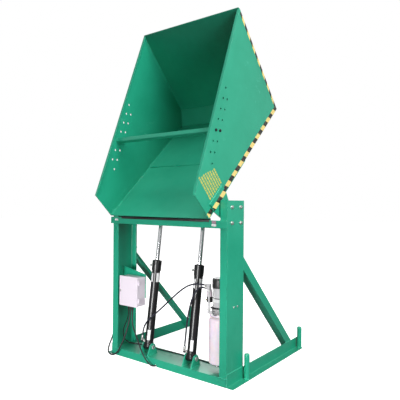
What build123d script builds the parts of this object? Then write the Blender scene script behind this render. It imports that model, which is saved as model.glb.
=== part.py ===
"""Hydraulic floor-level box dumper, modelled fully tipped. Millimetres, +Z up, +Y to the back.

The origin is the middle of the face that the base channel's front flange rests on.
The chute is drawn in its own axes: x across, u along the platform from the corner where
the platform meets the back, v up the back. Lowered, u is level and v is upright.
"""
from build123d import *
import math
import os

# ---------------------------------------------------------------- driving dimensions
# Rolled channel, used for the base and for both columns.
CHANNEL_DEPTH = 228.0
CHANNEL_FLANGE = 62.0
CHANNEL_WEB = 7.0
CHANNEL_FLANGE_T = 10.0
CHANNEL_ROOT_R = 8.0
CHANNEL_TOE_R = 4.0

# Frame.
FRAME_WIDTH = 1202.0            # over the outer faces of the column webs
COLUMN_TOP = 1355.0
LEG_LENGTH = 1187.0
LEG_HEIGHT = 95.0
LEG_FOOT = 59.0
LEG_T = 6.0
LEG_ROOT_R = 6.0
BRACE_LEG = 70.0
BRACE_T = 6.0
BRACE_TOP = 926.0
BRACE_FOOT = 30.0               # height of the brace's foot, lapped inside the leg
BEAM_UNDERSIDE = 1150.0
BEAM_HEIGHT = 57.0
BEAM_DEPTH = 20.0
BEAM_WALL = 3.0
BEAM_OVERHANG = 11.0
POST_D = 42.0
POST_TOP = 200.0
POST_DOME = 12.0
POST_SETBACK = (228.0, 1163.0)  # post centres behind the frame's front face

# Pivot.
PIVOT_SETBACK = 117.5           # behind the frame's front face
PIVOT_HEIGHT = 1246.5
SHAFT_D = 50.0
SHAFT_END_GAP = 6.0
SHAFT_COLLAR_D = 80.0
SHAFT_COLLAR = 8.0
BEARING_FLANGE = 152.0
BEARING_FLANGE_T = 16.0
BEARING_BODY_D = 104.0
BEARING_DEPTH = 45.0
BEARING_INSERT_D = 90.0
BEARING_BOLT_Y = 120.0
BEARING_BOLT_Z = 117.0
BOLT_D = 16.0
BOLT_HEAD = 10.0
BOLT_AF = 24.0
RUNNING_GAP = 0.05              # radial, for anything that turns or slides in a hole
BOLT_GAP = 0.5                  # radial, bolt in its hole

# Chute.
TIP_ANGLE = 133.0
CHUTE_WIDTH = 1034.0            # over the side plates
PLATE_T = 6.0
PLATFORM_LENGTH = 931.0
TOE_OVERHANG = 14.0
BACK_HEIGHT = 1404.0
LIP_DEPTH = (231.0, 1415.0)     # the side plates' outer lip corner, in u and v
PIVOT_U = -140.0
PIVOT_V = 1222.5
LAP_START = 735.0
LAP_END = 765.0
CORNER_U = 130.0
CORNER_V = 106.0
RIM_WIDTH = 20.0
RIM_T = 6.0
EAR_T = 12.0
EAR_R = 60.0
EAR_WELD_U = 70.0
EAR_WELD_V = (1128.0, 1335.0)
RIB_HEIGHT = 38.0
RIB_T = 8.0
RIB_INSET = 76.0
RIB_V = (250.0, 500.0, 700.0)
SKID_HEIGHT = 14.0
SKID_WIDTH = 40.0
SKID_X = (-380.0, -130.0, 130.0, 380.0)

# Retainer bar and its rows of adjusting holes.
HOLE_D = 18.0
HOLE_PITCH = 89.0
HOLE_COUNT = 7
FRONT_ROW_START = (575.0, 591.0)
REAR_ROW_SHIFT = (-35.0, -39.0)  # from a front hole to the rear hole that pairs with it
BAR_HOLE = 4                    # the pair of holes that the bar is bolted to
BAR_SIZE = 38.0
BAR_WALL = 3.0
BAR_PLATE_T = 6.0
BAR_PLATE_R = 24.0

# Hydraulic cylinders.
CYLINDER_X = 228.0
BASE_PIN_SETBACK = 67.0
BASE_PIN_HEIGHT = 122.0
BASE_PIN_D = 25.0
PIN_HEAD = 6.0
ROD_PIN_U = -82.0
ROD_PIN_V = 987.0
ROD_PIN_D = 28.0
LUG_T = 10.0
BASE_LUG_R = 32.0
BASE_LUG_LENGTH = 118.0
ROD_LUG_GAP = 44.0
ROD_LUG_R = 30.0
ROD_LUG_LENGTH = 150.0
BARREL_D = 72.0
BASE_LUG_GAP = BARREL_D + 4.0
BARREL_BORE = 63.5
BARREL_TOP = 636.0
BARREL_FLOOR = 32.0
BARREL_EYE_D = 56.0
EYE_SIDE_GAP = 2.0
GLAND_D = 80.0
GLAND_TOP = 722.0
GLAND_SPIGOT = 34.0
ROD_D = 32.0
ROD_EYE_D = 52.0
ROD_EYE_BORE = 30.0
PISTON_T = 50.0
PISTON_BOTTOM_GAP = 30.0        # above the barrel's floor with the chute lowered
PORT_S = 44.0                   # along the barrel from the base pin
PORT_ANGLE = 40.0               # round the barrel, from the left towards the front
PORT_D = 20.0
PORT_REACH = 24.0
PORT_RISE = 16.0
FERRULE = 24.0
FERRULE_GAP = 1.5               # the hose's ferrule stays clear of the elbow, which swings with the barrel

# Control box.
BOX_WIDTH = 211.0
BOX_HEIGHT = 254.0
BOX_DEPTH = 105.0
BOX_LEFT = -518.0
BOX_BOTTOM = 444.0
BOX_WALL = 2.5
DOOR_RIM = 14.0
DOOR_GAP = 2.0
DOOR_HINGE_OUT = 4.0
KNUCKLE_D = 9.0
KNUCKLE_PIN_D = 4.0
KNUCKLE_LENGTH = 14.0
CONTROL_PLATE_T = 6.0
CONTROL_PLATE_TOP = 768.0
CONTROL_PLATE_TIP = 713.0
CONTROL_PLATE_BOTTOM = 470.0
GLAND_X = (-455.0, -430.0, -405.0)   # motor cable, hand control cord, supply cord
GLAND_SETBACK = 50.0
GLAND_LENGTH = 24.0
GLAND_BODY_D = 21.0

# Inside the control box.
PANEL_INSET = 14.0
PANEL_T = 2.0
PANEL_STANDOFF = 7.0
PANEL_POST_D = 8.0
RAIL_WIDTH = 34.0
RAIL_T = 7.0
RAIL_DROP = 88.0                # below the top of the box
STRIP_RISE = 44.0               # above the bottom of the box
TERMINAL_SIZE = (9.0, 30.0, 40.0)
TERMINAL_PITCH = 11.0
TERMINAL_COUNT = 7
CONTACTOR_SIZE = (50.0, 62.0, 76.0)
CONTACTOR_NOSE = (34.0, 10.0, 40.0)
TRANSFORMER_SIZE = (64.0, 52.0, 56.0)
WINDING_SIZE = (44.0, 8.0, 36.0)

# Power unit.
UNIT_X = 460.0
UNIT_SETBACK = 118.0
TANK_D = 166.0
TANK_BOTTOM = 122.0
TANK_TOP = 482.0
TANK_SHOULDER = 26.0
TANK_WALL = 3.0
FILLER_D = 18.0
MANIFOLD_SIZE = 100.0
MANIFOLD_H = 58.0
UNIT_PLATE_T = 8.0
UNIT_PLATE_WIDTH = 132.0
MOTOR_D = 112.0
MOTOR_H = 142.0
MOTOR_CAP_D = 117.0
MOTOR_CAP_H = 76.0
UNIT_BOLT_Z = 565.0
UNIT_BOLT_Y = 48.0
UNIT_BOLT_D = 8.0
UNIT_BOLT_AF = 13.0
UNIT_BOLT_HEAD = 4.0
SOLENOID_X = 374.0
SOLENOID_SETBACK = 104.0
SOLENOID_BOTTOM = 572.0
SOLENOID_D = 46.0
SOLENOID_BASE_H = 44.0
SOLENOID_CONE_D = (42.0, 26.0)
SOLENOID_CONE_H = 68.0
SOLENOID_STRAP = (10.0, 8.0, 30.0)   # its thickness, and how far above the bottom it starts and ends
LINE_D = 14.0
LINE_BLOCK = 18.0
TEE_SIZE = 24.0
TEE_X = 410.0
TEE_SETBACK = 45.0
TEE_HEIGHT = 703.0

# Hand control.
PENDANT_Y = 112.0
PENDANT_BOTTOM = 690.0
PENDANT_SIZE = (34.0, 52.0, 150.0)
PENDANT_STANDOFF = 14.0
BUTTON_D = 22.0
BUTTON_PROUD = 6.0
BUTTON_STEM = 10.0
BUTTON_PITCH = 46.0

# Cords and hoses: outside diameters.
SUPPLY_D = 11.0
PENDANT_CORD_D = 13.0
MOTOR_CABLE_D = 9.0
HOSE_D = 13.0
HOSE_END_RUN = 30.0
COIL_RADIUS = 60.0
COIL_CENTRE = (-20.0, 106.0)
COIL_LAYERS = 2
COIL_TAIL = 66.0                # from the top of the coil, along X, to the plug
PLUG_D = 34.0
PLUG_LENGTH = 48.0
PLUG_NECK_D = 18.0
PLUG_NECK = 22.0
PLUG_BLADE = (6.0, 1.6, 19.0)
PLUG_PITCH = 13.0
NOTCH_X = -88.0
NOTCH_WIDTH = 26.0
NOTCH_HEIGHT = 18.0

# ---------------------------------------------------------------- derived places
FRONT_Y = -CHANNEL_FLANGE_T / 2
COLUMN_OUT = FRAME_WIDTH / 2
COLUMN_IN = COLUMN_OUT - CHANNEL_WEB
COLUMN_REAR = FRONT_Y + CHANNEL_DEPTH
BASE_TOP = CHANNEL_FLANGE
PIVOT = Vector(0, FRONT_Y + PIVOT_SETBACK, PIVOT_HEIGHT)
SIDE_IN = CHUTE_WIDTH / 2 - PLATE_T
SIDE_OUT = CHUTE_WIDTH / 2
CHUTE_AXES = Location(tuple(PIVOT), (TIP_ANGLE, 0, 0)) * Pos(0, -PIVOT_U, -PIVOT_V)
BASE_PIN = Vector(0, FRONT_Y + BASE_PIN_SETBACK, BASE_PIN_HEIGHT)


def chute_point(u, v, x=0.0):
    """A point given in the chute's own axes, where it is with the chute tipped."""
    return (CHUTE_AXES * Pos(x, u, v)).position


ROD_PIN = chute_point(ROD_PIN_U, ROD_PIN_V)
TURN = math.radians(-TIP_ANGLE)
REACH = ROD_PIN - PIVOT
ROD_PIN_LOWERED = PIVOT + Vector(
    0,
    REACH.Y * math.cos(TURN) - REACH.Z * math.sin(TURN),
    REACH.Y * math.sin(TURN) + REACH.Z * math.cos(TURN),
)
OPEN_LENGTH = (ROD_PIN - BASE_PIN).length
CLOSED_LENGTH = (ROD_PIN_LOWERED - BASE_PIN).length
STROKE = OPEN_LENGTH - CLOSED_LENGTH
CYLINDER_TILT = math.degrees(math.atan2(ROD_PIN.Y - BASE_PIN.Y, ROD_PIN.Z - BASE_PIN.Z))
LOWERED_TILT = math.degrees(
    math.atan2(ROD_PIN_LOWERED.Y - BASE_PIN.Y, ROD_PIN_LOWERED.Z - BASE_PIN.Z)
)

nodes = {}


# ---------------------------------------------------------------- helpers
def block(x0, x1, y0, y1, z0, z1):
    """A box from its six limits."""
    size = Box(abs(x1 - x0), abs(y1 - y0), abs(z1 - z0))
    return Pos((x0 + x1) / 2, (y0 + y1) / 2, (z0 + z1) / 2) * size


def rod_x(x0, x1, y, z, diameter):
    """A round bar along X."""
    bar = Cylinder(diameter / 2, abs(x1 - x0))
    return Pos((x0 + x1) / 2, y, z) * Rot(0, 90, 0) * bar


def rod_z(x, y, z0, z1, diameter):
    """A round bar along Z."""
    return Pos(x, y, (z0 + z1) / 2) * Cylinder(diameter / 2, abs(z1 - z0))


def plate_yz(points, x0, x1, arcs=()):
    """A plate whose outline is in Y and Z, as the hull of points and (y, z, radius) discs."""
    outline = Sketch() + [Pos(y, z) * Circle(radius) for y, z, radius in arcs]
    corners = [Pos(y, z) * Circle(0.01) for y, z in points]
    if arcs:
        face = make_hull((outline + corners).edges())
    else:
        face = make_face(Polyline(*points, close=True))
    across = Plane(origin=(x0, 0, 0), x_dir=(0, 1, 0), z_dir=(1, 0, 0))
    return extrude(across * face, amount=x1 - x0)


def mirrored(shape):
    """The same piece on the left side."""
    return mirror(shape, about=Plane.YZ)


def group(shapes):
    """Separate solids kept together in one node."""
    return Compound(children=[solid for shape in shapes for solid in shape.solids()])


def channel(plane, length):
    """Rolled channel: the outer face of its web lies on the plane's x axis."""
    inner = CHANNEL_DEPTH - 2 * CHANNEL_FLANGE_T
    section = Rectangle(CHANNEL_DEPTH, CHANNEL_FLANGE, align=(Align.CENTER, Align.MIN))
    section -= Pos(0, CHANNEL_WEB) * Rectangle(inner, CHANNEL_FLANGE, align=(Align.CENTER, Align.MIN))
    inner_corners = [p for p in section.vertices() if abs(abs(p.X) - inner / 2) < 0.1]
    roots = [p for p in inner_corners if p.Y < CHANNEL_FLANGE / 2]
    section = fillet(roots, CHANNEL_ROOT_R)
    inner_corners = [p for p in section.vertices() if abs(abs(p.X) - inner / 2) < 0.1]
    toes = [p for p in inner_corners if p.Y > CHANNEL_FLANGE - 0.1]
    section = fillet(toes, CHANNEL_TOE_R)
    return extrude(plane * section, amount=length)


def hex_bolt(x_head, x_nut, y, z, diameter=BOLT_D, across=BOLT_AF, head=BOLT_HEAD):
    """A bolt along X with its nut, head face at x_head and nut face at x_nut."""
    side = 1 if x_head > x_nut else -1
    hexagon = RegularPolygon(across / 2, 6, major_radius=False)
    bolt = Pos(x_head, y, z) * Rot(0, 90 * side, 0) * extrude(hexagon, amount=head)
    bolt += Pos(x_nut, y, z) * Rot(0, -90 * side, 0) * extrude(hexagon, amount=head + 2)
    bolt += rod_x(x_head, x_nut - side * (head + 6), y, z, diameter)
    return bolt


def cord(name, points, diameter):
    """A cord of straight runs and tangent arcs through chosen points; prints its radii."""
    corners = [Vector(*point) for point in points]
    radii = []
    for before, here, after in zip(corners, corners[1:], corners[2:]):
        turn = math.radians((here - before).get_angle(after - here))
        shorter = min((here - before).length, (after - here).length)
        radii.append(0.45 * shorter / math.tan(turn / 2))
    path = FilletPolyline(*corners, radius=radii)
    start = Plane(origin=path @ 0, z_dir=path % 0)
    tube = sweep(start * Circle(diameter / 2), path=path)
    expected = math.pi * diameter ** 2 / 4 * path.length
    print(f"{name}: length {path.length:.0f}, smallest radius {min(radii):.0f},",
          f"volume ratio {tube.volume / expected:.4f}")
    return tube


def from_front(points):
    """Points whose Y is measured back from the frame's front face."""
    return [(x, FRONT_Y + y, z) for x, y, z in points]


# ---------------------------------------------------------------- frame
def make_base():
    base_plane = Plane(
        origin=(-COLUMN_OUT, FRONT_Y + CHANNEL_DEPTH / 2, BASE_TOP), x_dir=(0, -1, 0), z_dir=(1, 0, 0)
    )
    base = channel(base_plane, FRAME_WIDTH)
    notch_half = NOTCH_WIDTH / 2
    notch = block(NOTCH_X - notch_half, NOTCH_X + notch_half, FRONT_Y - 1,
                  FRONT_Y + CHANNEL_FLANGE_T + 1, 0, NOTCH_HEIGHT - notch_half)
    arch = Pos(NOTCH_X, FRONT_Y + CHANNEL_FLANGE_T / 2, NOTCH_HEIGHT - notch_half)
    notch += arch * Rot(90, 0, 0) * Cylinder(notch_half, CHANNEL_FLANGE_T + 2)
    nodes["base_channel"] = base - notch


def bearing_bolt_places():
    for dy in (-BEARING_BOLT_Y / 2, BEARING_BOLT_Y / 2):
        for dz in (-BEARING_BOLT_Z / 2, BEARING_BOLT_Z / 2):
            yield PIVOT.Y + dy, PIVOT.Z + dz


def unit_bolt_places():
    for dy in (-UNIT_BOLT_Y / 2, UNIT_BOLT_Y / 2):
        yield FRONT_Y + UNIT_SETBACK + dy, UNIT_BOLT_Z


def make_columns():
    plane = Plane(
        origin=(COLUMN_OUT, FRONT_Y + CHANNEL_DEPTH / 2, BASE_TOP), x_dir=(0, 1, 0), z_dir=(0, 0, 1)
    )
    column = channel(plane, COLUMN_TOP - BASE_TOP)
    hole = BOLT_D + 2 * BOLT_GAP
    for y, z in bearing_bolt_places():
        column -= rod_x(COLUMN_IN - 1, COLUMN_OUT + 1, y, z, hole)
    nodes["column_left"] = mirrored(column)
    for y, z in unit_bolt_places():
        column -= rod_x(COLUMN_IN - 1, COLUMN_OUT + 1, y, z, UNIT_BOLT_D + 2 * BOLT_GAP)
    nodes["column_right"] = column


def make_legs():
    end = FRONT_Y + LEG_LENGTH
    leg = block(COLUMN_OUT, COLUMN_OUT + LEG_T, FRONT_Y, end, 0, LEG_HEIGHT)
    leg += block(COLUMN_OUT, COLUMN_OUT + LEG_FOOT, FRONT_Y, end, 0, LEG_T)
    root = [
        edge for edge in leg.edges().filter_by(Axis.Y)
        if abs(edge.center().X - COLUMN_OUT - LEG_T) < 0.1 and abs(edge.center().Z - LEG_T) < 0.1
    ]
    leg = fillet(root, LEG_ROOT_R)
    nodes["leg_right"] = leg
    nodes["leg_left"] = mirrored(leg)


def make_braces():
    """Angle at 45 degrees from the column's rear face down to the inside of the leg."""
    width = BRACE_LEG * math.sqrt(2)
    drop = BRACE_TOP - BRACE_FOOT
    heel = COLUMN_REAR + drop
    flat = [
        (COLUMN_REAR, BRACE_TOP), (heel, BRACE_FOOT),
        (heel - width, BRACE_FOOT), (COLUMN_REAR, BRACE_TOP - width),
    ]
    strip = BRACE_T * math.sqrt(2)
    inward = [
        (COLUMN_REAR, BRACE_TOP - width + strip), (heel - width + strip, BRACE_FOOT),
        (heel - width, BRACE_FOOT), (COLUMN_REAR, BRACE_TOP - width),
    ]
    brace = plate_yz(flat, COLUMN_OUT - BRACE_T, COLUMN_OUT)
    brace += plate_yz(inward, COLUMN_OUT - BRACE_LEG, COLUMN_OUT)
    nodes["braces"] = group([brace, mirrored(brace)])


def make_posts():
    x = COLUMN_OUT + (LEG_T + LEG_ROOT_R + LEG_FOOT) / 2
    posts = []
    for setback in POST_SETBACK:
        post = rod_z(x, FRONT_Y + setback, LEG_T, POST_TOP, POST_D)
        post = fillet(post.edges().group_by(Axis.Z)[-1], POST_DOME)
        posts += [post, mirrored(post)]
    nodes["guide_posts"] = group(posts)


def make_beam():
    half = COLUMN_OUT + BEAM_OVERHANG
    top = BEAM_UNDERSIDE + BEAM_HEIGHT
    beam = block(-half, half, FRONT_Y - BEAM_DEPTH, FRONT_Y, BEAM_UNDERSIDE, top)
    beam = fillet(beam.edges().filter_by(Axis.X), BEAM_WALL)
    inner = block(-half + BEAM_WALL, half - BEAM_WALL, FRONT_Y - BEAM_DEPTH + BEAM_WALL,
                  FRONT_Y - BEAM_WALL, BEAM_UNDERSIDE + BEAM_WALL, top - BEAM_WALL)
    nodes["front_beam"] = beam - inner


def make_base_lugs():
    lugs = []
    pins = []
    start = FRONT_Y + CHANNEL_FLANGE_T / 2
    feet = [(start, BASE_TOP), (start + BASE_LUG_LENGTH, BASE_TOP)]
    disc = (BASE_PIN.Y, BASE_PIN.Z, BASE_LUG_R)
    reach = BASE_LUG_GAP / 2 + LUG_T
    for centre in (-CYLINDER_X, CYLINDER_X):
        for inner in (BASE_LUG_GAP / 2, -reach):
            lug = plate_yz(feet, centre + inner, centre + inner + LUG_T, arcs=[disc])
            floor = block(centre - 2 * reach, centre + 2 * reach, -CHANNEL_DEPTH, 2 * CHANNEL_DEPTH,
                          0, BASE_TOP)
            lug -= floor
            lug -= rod_x(centre - 2 * reach, centre + 2 * reach, BASE_PIN.Y, BASE_PIN.Z,
                         BASE_PIN_D + 2 * BOLT_GAP)
            lugs.append(lug)
        pin = rod_x(centre - reach, centre + reach, BASE_PIN.Y, BASE_PIN.Z, BASE_PIN_D)
        for x in (centre - reach - PIN_HEAD, centre + reach):
            pin += rod_x(x, x + PIN_HEAD, BASE_PIN.Y, BASE_PIN.Z, BASE_PIN_D + 10)
        pins.append(pin)
    nodes["base_lugs"] = group(lugs)
    nodes["base_pins"] = group(pins)


def make_bearings():
    x_web = COLUMN_IN
    x_face = x_web - BEARING_DEPTH
    half = BEARING_FLANGE / 2
    flange = block(x_web - BEARING_FLANGE_T, x_web, PIVOT.Y - half, PIVOT.Y + half,
                   PIVOT.Z - half, PIVOT.Z + half)
    flange = fillet(flange.edges().filter_by(Axis.X), 18)
    housing = flange + rod_x(x_face, x_web - BEARING_FLANGE_T, PIVOT.Y, PIVOT.Z, BEARING_BODY_D)
    housing -= rod_x(x_face - 1, x_web + 1, PIVOT.Y, PIVOT.Z, BEARING_INSERT_D)
    for y, z in bearing_bolt_places():
        housing -= rod_x(x_face - 1, x_web + 1, y, z, BOLT_D + 2 * BOLT_GAP)
    insert = rod_x(x_face, x_web - SHAFT_END_GAP, PIVOT.Y, PIVOT.Z, BEARING_INSERT_D)
    insert -= rod_x(x_face - 1, x_web + 1, PIVOT.Y, PIVOT.Z, SHAFT_D + 2 * RUNNING_GAP)
    bolts = [
        hex_bolt(COLUMN_OUT, x_web - BEARING_FLANGE_T, y, z) for y, z in bearing_bolt_places()
    ]
    bolts += [mirrored(bolt) for bolt in bolts]
    bolts += [
        hex_bolt(COLUMN_OUT, x_web - CONTROL_PLATE_T, y, z, UNIT_BOLT_D, UNIT_BOLT_AF, UNIT_BOLT_HEAD)
        for y, z in unit_bolt_places()
    ]
    nodes["bearing_housings"] = group([housing, mirrored(housing)])
    nodes["bearing_inserts"] = group([insert, mirrored(insert)])
    nodes["frame_bolts"] = group(bolts)


# ---------------------------------------------------------------- chute
def chute_plate(points, x0, x1, arcs=()):
    """A plate drawn in u and v and placed with the chute tipped."""
    return CHUTE_AXES * plate_yz(points, x0, x1, arcs)


def chute_block(x0, x1, u0, u1, v0, v1):
    return CHUTE_AXES * block(x0, x1, u0, u1, v0, v1)


def chute_rod(x0, x1, u, v, diameter):
    return CHUTE_AXES * rod_x(x0, x1, u, v, diameter)


def edge_direction():
    """Unit vector up the side plate's sloping front edge, from the toe to the lip."""
    du = LIP_DEPTH[0] - PLATFORM_LENGTH
    dv = LIP_DEPTH[1]
    length = math.hypot(du, dv)
    return du / length, dv / length


def front_hole(index):
    du, dv = edge_direction()
    return (FRONT_ROW_START[0] + du * HOLE_PITCH * index,
            FRONT_ROW_START[1] + dv * HOLE_PITCH * index)


def rear_hole(index):
    u, v = front_hole(index)
    return u + REAR_ROW_SHIFT[0], v + REAR_ROW_SHIFT[1]


def make_side_plates():
    outline = [(0, 0), (PLATFORM_LENGTH, 0), LIP_DEPTH, (0, BACK_HEIGHT)]
    plate = chute_plate(outline, SIDE_IN, SIDE_OUT)
    for index in range(HOLE_COUNT):
        for u, v in (front_hole(index), rear_hole(index + 1)):
            plate -= chute_rod(SIDE_IN - 1, SIDE_OUT + 1, u, v, HOLE_D)
    nodes["side_plate_right"] = plate
    nodes["side_plate_left"] = mirrored(plate)


def make_tray():
    toe = PLATFORM_LENGTH + TOE_OVERHANG
    tread = [(0, 0), (toe - PLATE_T, 0), (toe, PLATE_T / 2), (toe - PLATE_T, PLATE_T), (0, PLATE_T)]
    platform = chute_plate(tread, -SIDE_IN, SIDE_IN)
    nodes["platform"] = platform
    nodes["back_plate"] = chute_block(-SIDE_IN, SIDE_IN, 0, PLATE_T, PLATE_T, LAP_END)
    slope = math.hypot(CORNER_U, CORNER_V)
    side_u = PLATE_T * slope / CORNER_V
    side_v = PLATE_T * slope / CORNER_U
    chamfer = [
        (PLATE_T + CORNER_U, PLATE_T), (PLATE_T, PLATE_T + CORNER_V),
        (PLATE_T, PLATE_T + CORNER_V - side_v), (PLATE_T + CORNER_U - side_u, PLATE_T),
    ]
    nodes["corner_plate"] = chute_plate(chamfer, -SIDE_IN, SIDE_IN)
    nodes["lip_plate"] = chute_block(-SIDE_OUT, SIDE_OUT, -PLATE_T, 0, LAP_START, BACK_HEIGHT)
    du, dv = edge_direction()
    toe_corner = (PLATFORM_LENGTH, 0)
    rim_line = [
        toe_corner, LIP_DEPTH,
        (LIP_DEPTH[0] + dv * RIM_T, LIP_DEPTH[1] - du * RIM_T),
        (toe_corner[0] + dv * RIM_T, toe_corner[1] - du * RIM_T),
    ]
    rim = chute_plate(rim_line, SIDE_OUT - RIM_WIDTH, SIDE_OUT) - platform
    nodes["edge_rims"] = group([rim, mirrored(rim)])


def make_stiffeners():
    rib_end = SIDE_IN - RIB_INSET
    ribs = [chute_block(-rib_end, rib_end, -RIB_HEIGHT, 0, v, v + RIB_T) for v in RIB_V]
    for x in SKID_X:
        profile = [
            (0, 0), (PLATFORM_LENGTH - 60, 0), (PLATFORM_LENGTH - 90, -SKID_HEIGHT),
            (30, -SKID_HEIGHT), (0, -SKID_HEIGHT / 2),
        ]
        ribs.append(chute_plate(profile, x - SKID_WIDTH / 2, x + SKID_WIDTH / 2))
    nodes["underside_ribs"] = group(ribs)


def make_pivot():
    weld = [
        (EAR_WELD_U, EAR_WELD_V[0]), (EAR_WELD_U, EAR_WELD_V[1]),
        (0, EAR_WELD_V[0]), (0, EAR_WELD_V[1]),
    ]
    ear = chute_plate(weld, SIDE_OUT, SIDE_OUT + EAR_T, arcs=[(PIVOT_U, PIVOT_V, EAR_R)])
    collar_end = SIDE_OUT + EAR_T + SHAFT_COLLAR
    shaft = rod_x(SIDE_OUT + EAR_T, collar_end, PIVOT.Y, PIVOT.Z, SHAFT_COLLAR_D)
    shaft += rod_x(collar_end, COLUMN_IN - SHAFT_END_GAP, PIVOT.Y, PIVOT.Z, SHAFT_D)
    nodes["pivot_ears"] = group([ear, mirrored(ear)])
    nodes["pivot_shafts"] = group([shaft, mirrored(shaft)])


def make_rod_lugs():
    """Lugs for the rod ends. Each stub pin stops at its lug's inner face."""
    lugs = []
    pins = []
    feet = [(-PLATE_T, ROD_PIN_V - ROD_LUG_LENGTH / 2), (-PLATE_T, ROD_PIN_V + ROD_LUG_LENGTH / 2)]
    disc = (ROD_PIN_U, ROD_PIN_V, ROD_LUG_R)
    for centre in (-CYLINDER_X, CYLINDER_X):
        for side in (-1, 1):
            inner = centre + side * ROD_LUG_GAP / 2
            outer = inner + side * LUG_T
            low, high = sorted((inner, outer))
            lug = chute_plate(feet, low, high, arcs=[disc])
            lug -= chute_rod(low - 1, high + 1, ROD_PIN_U, ROD_PIN_V, ROD_PIN_D + 2 * BOLT_GAP)
            pin = chute_rod(inner, outer, ROD_PIN_U, ROD_PIN_V, ROD_PIN_D)
            pin += chute_rod(outer, outer + side * PIN_HEAD, ROD_PIN_U, ROD_PIN_V, ROD_PIN_D + 12)
            lugs.append(lug - nodes["lip_plate"])
            pins.append(pin)
    nodes["rod_lugs"] = group(lugs)
    nodes["rod_stub_pins"] = group(pins)


def make_retainer():
    front = front_hole(BAR_HOLE)
    rear = rear_hole(BAR_HOLE)
    half = BAR_SIZE / 2
    x_plate = SIDE_IN - BAR_PLATE_T
    tube = block(-x_plate, x_plate, -half, half, -half, half)
    tube = fillet(tube.edges().filter_by(Axis.X), 2 * BAR_WALL)
    hollow = BAR_SIZE - 2 * BAR_WALL
    tube -= Box(2 * x_plate, hollow, hollow)
    du, dv = edge_direction()
    lean = math.degrees(math.atan2(-du, dv))
    bar = CHUTE_AXES * Pos(0, *front) * Rot(lean, 0, 0) * tube
    discs = [(*front, BAR_PLATE_R), (*rear, BAR_PLATE_R)]
    plate = chute_plate([], x_plate, SIDE_IN, arcs=discs)
    for u, v in (front, rear):
        plate -= chute_rod(x_plate - 1, SIDE_IN + 1, u, v, HOLE_D)
    nodes["retainer_bar"] = group([bar + plate + mirrored(plate)])
    x_inside = x_plate - BOLT_HEAD
    bolts = [CHUTE_AXES * hex_bolt(SIDE_OUT, x_plate, *rear)]
    stub = rod_x(x_inside, SIDE_OUT, front[0], front[1], BOLT_D)
    hexagon = extrude(RegularPolygon(BOLT_AF / 2, 6, major_radius=False), amount=BOLT_HEAD)
    stub += Pos(SIDE_OUT, *front) * Rot(0, 90, 0) * hexagon
    bolts.append(CHUTE_AXES * stub)
    bolts += [mirrored(bolt) for bolt in bolts]
    nodes["retainer_bolts"] = group(bolts)


# ---------------------------------------------------------------- cylinders
def cylinder_axes(centre):
    """Local Z runs from the base pin to the rod pin, with the chute tipped."""
    return Pos(centre, BASE_PIN.Y, BASE_PIN.Z) * Rot(-CYLINDER_TILT, 0, 0)


def make_cylinder(side, centre):
    place = cylinder_axes(centre)
    eye_width = BASE_LUG_GAP - 2 * EYE_SIDE_GAP
    barrel = rod_z(0, 0, 0, BARREL_FLOOR, BARREL_D) & rod_x(-eye_width, eye_width, 0, BARREL_FLOOR / 2,
                                                           BARREL_EYE_D + BARREL_FLOOR)
    barrel += rod_x(-eye_width / 2, eye_width / 2, 0, 0, BARREL_EYE_D)
    barrel += rod_z(0, 0, BARREL_FLOOR / 2, BARREL_TOP, BARREL_D)
    barrel -= rod_z(0, 0, BARREL_FLOOR, BARREL_TOP + 1, BARREL_BORE)
    barrel -= rod_x(-eye_width, eye_width, 0, 0, BASE_PIN_D + 2 * RUNNING_GAP)
    elbow_x = -BARREL_D / 2 - PORT_REACH
    elbow = rod_x(-BARREL_D / 2 + 2, elbow_x, 0, PORT_S, PORT_D)
    elbow += Pos(elbow_x, 0, PORT_S) * Sphere(PORT_D / 2)
    elbow += rod_z(elbow_x, 0, PORT_S, PORT_S + PORT_RISE, PORT_D - 2)
    nodes[f"barrel_{side}"] = place * (barrel + Rot(0, 0, PORT_ANGLE) * elbow)

    gland = rod_z(0, 0, BARREL_TOP, GLAND_TOP, GLAND_D)
    gland = chamfer(gland.edges().group_by(Axis.Z)[-1], 3)
    gland += rod_z(0, 0, BARREL_TOP - GLAND_SPIGOT, BARREL_TOP, BARREL_BORE - 0.2)
    middle = (BARREL_TOP + GLAND_TOP) / 2
    gland += Rot(0, 0, PORT_ANGLE) * rod_x(-GLAND_D / 2 - 14, 0, 0, middle, PORT_D)
    gland -= rod_z(0, 0, 0, GLAND_TOP + 1, ROD_D + 2 * RUNNING_GAP)
    nodes[f"gland_{side}"] = place * gland

    piston_low = BARREL_FLOOR + PISTON_BOTTOM_GAP + STROKE
    eye_half = ROD_LUG_GAP / 2 - EYE_SIDE_GAP
    rod = rod_z(0, 0, piston_low, OPEN_LENGTH, ROD_D)
    rod += rod_z(0, 0, piston_low, piston_low + PISTON_T, BARREL_BORE - 2 * RUNNING_GAP)
    rod += rod_x(-eye_half, eye_half, 0, OPEN_LENGTH, ROD_EYE_D)
    rod -= rod_x(-eye_half - 1, eye_half + 1, 0, OPEN_LENGTH, ROD_EYE_BORE)
    nodes[f"rod_{side}"] = place * rod


def hose_port(centre):
    """Where a hose meets the elbow of the cylinder at this X."""
    turn = Rot(0, 0, PORT_ANGLE)
    return cylinder_axes(centre) * turn * Pos(-BARREL_D / 2 - PORT_REACH, 0, PORT_S + PORT_RISE)


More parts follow.
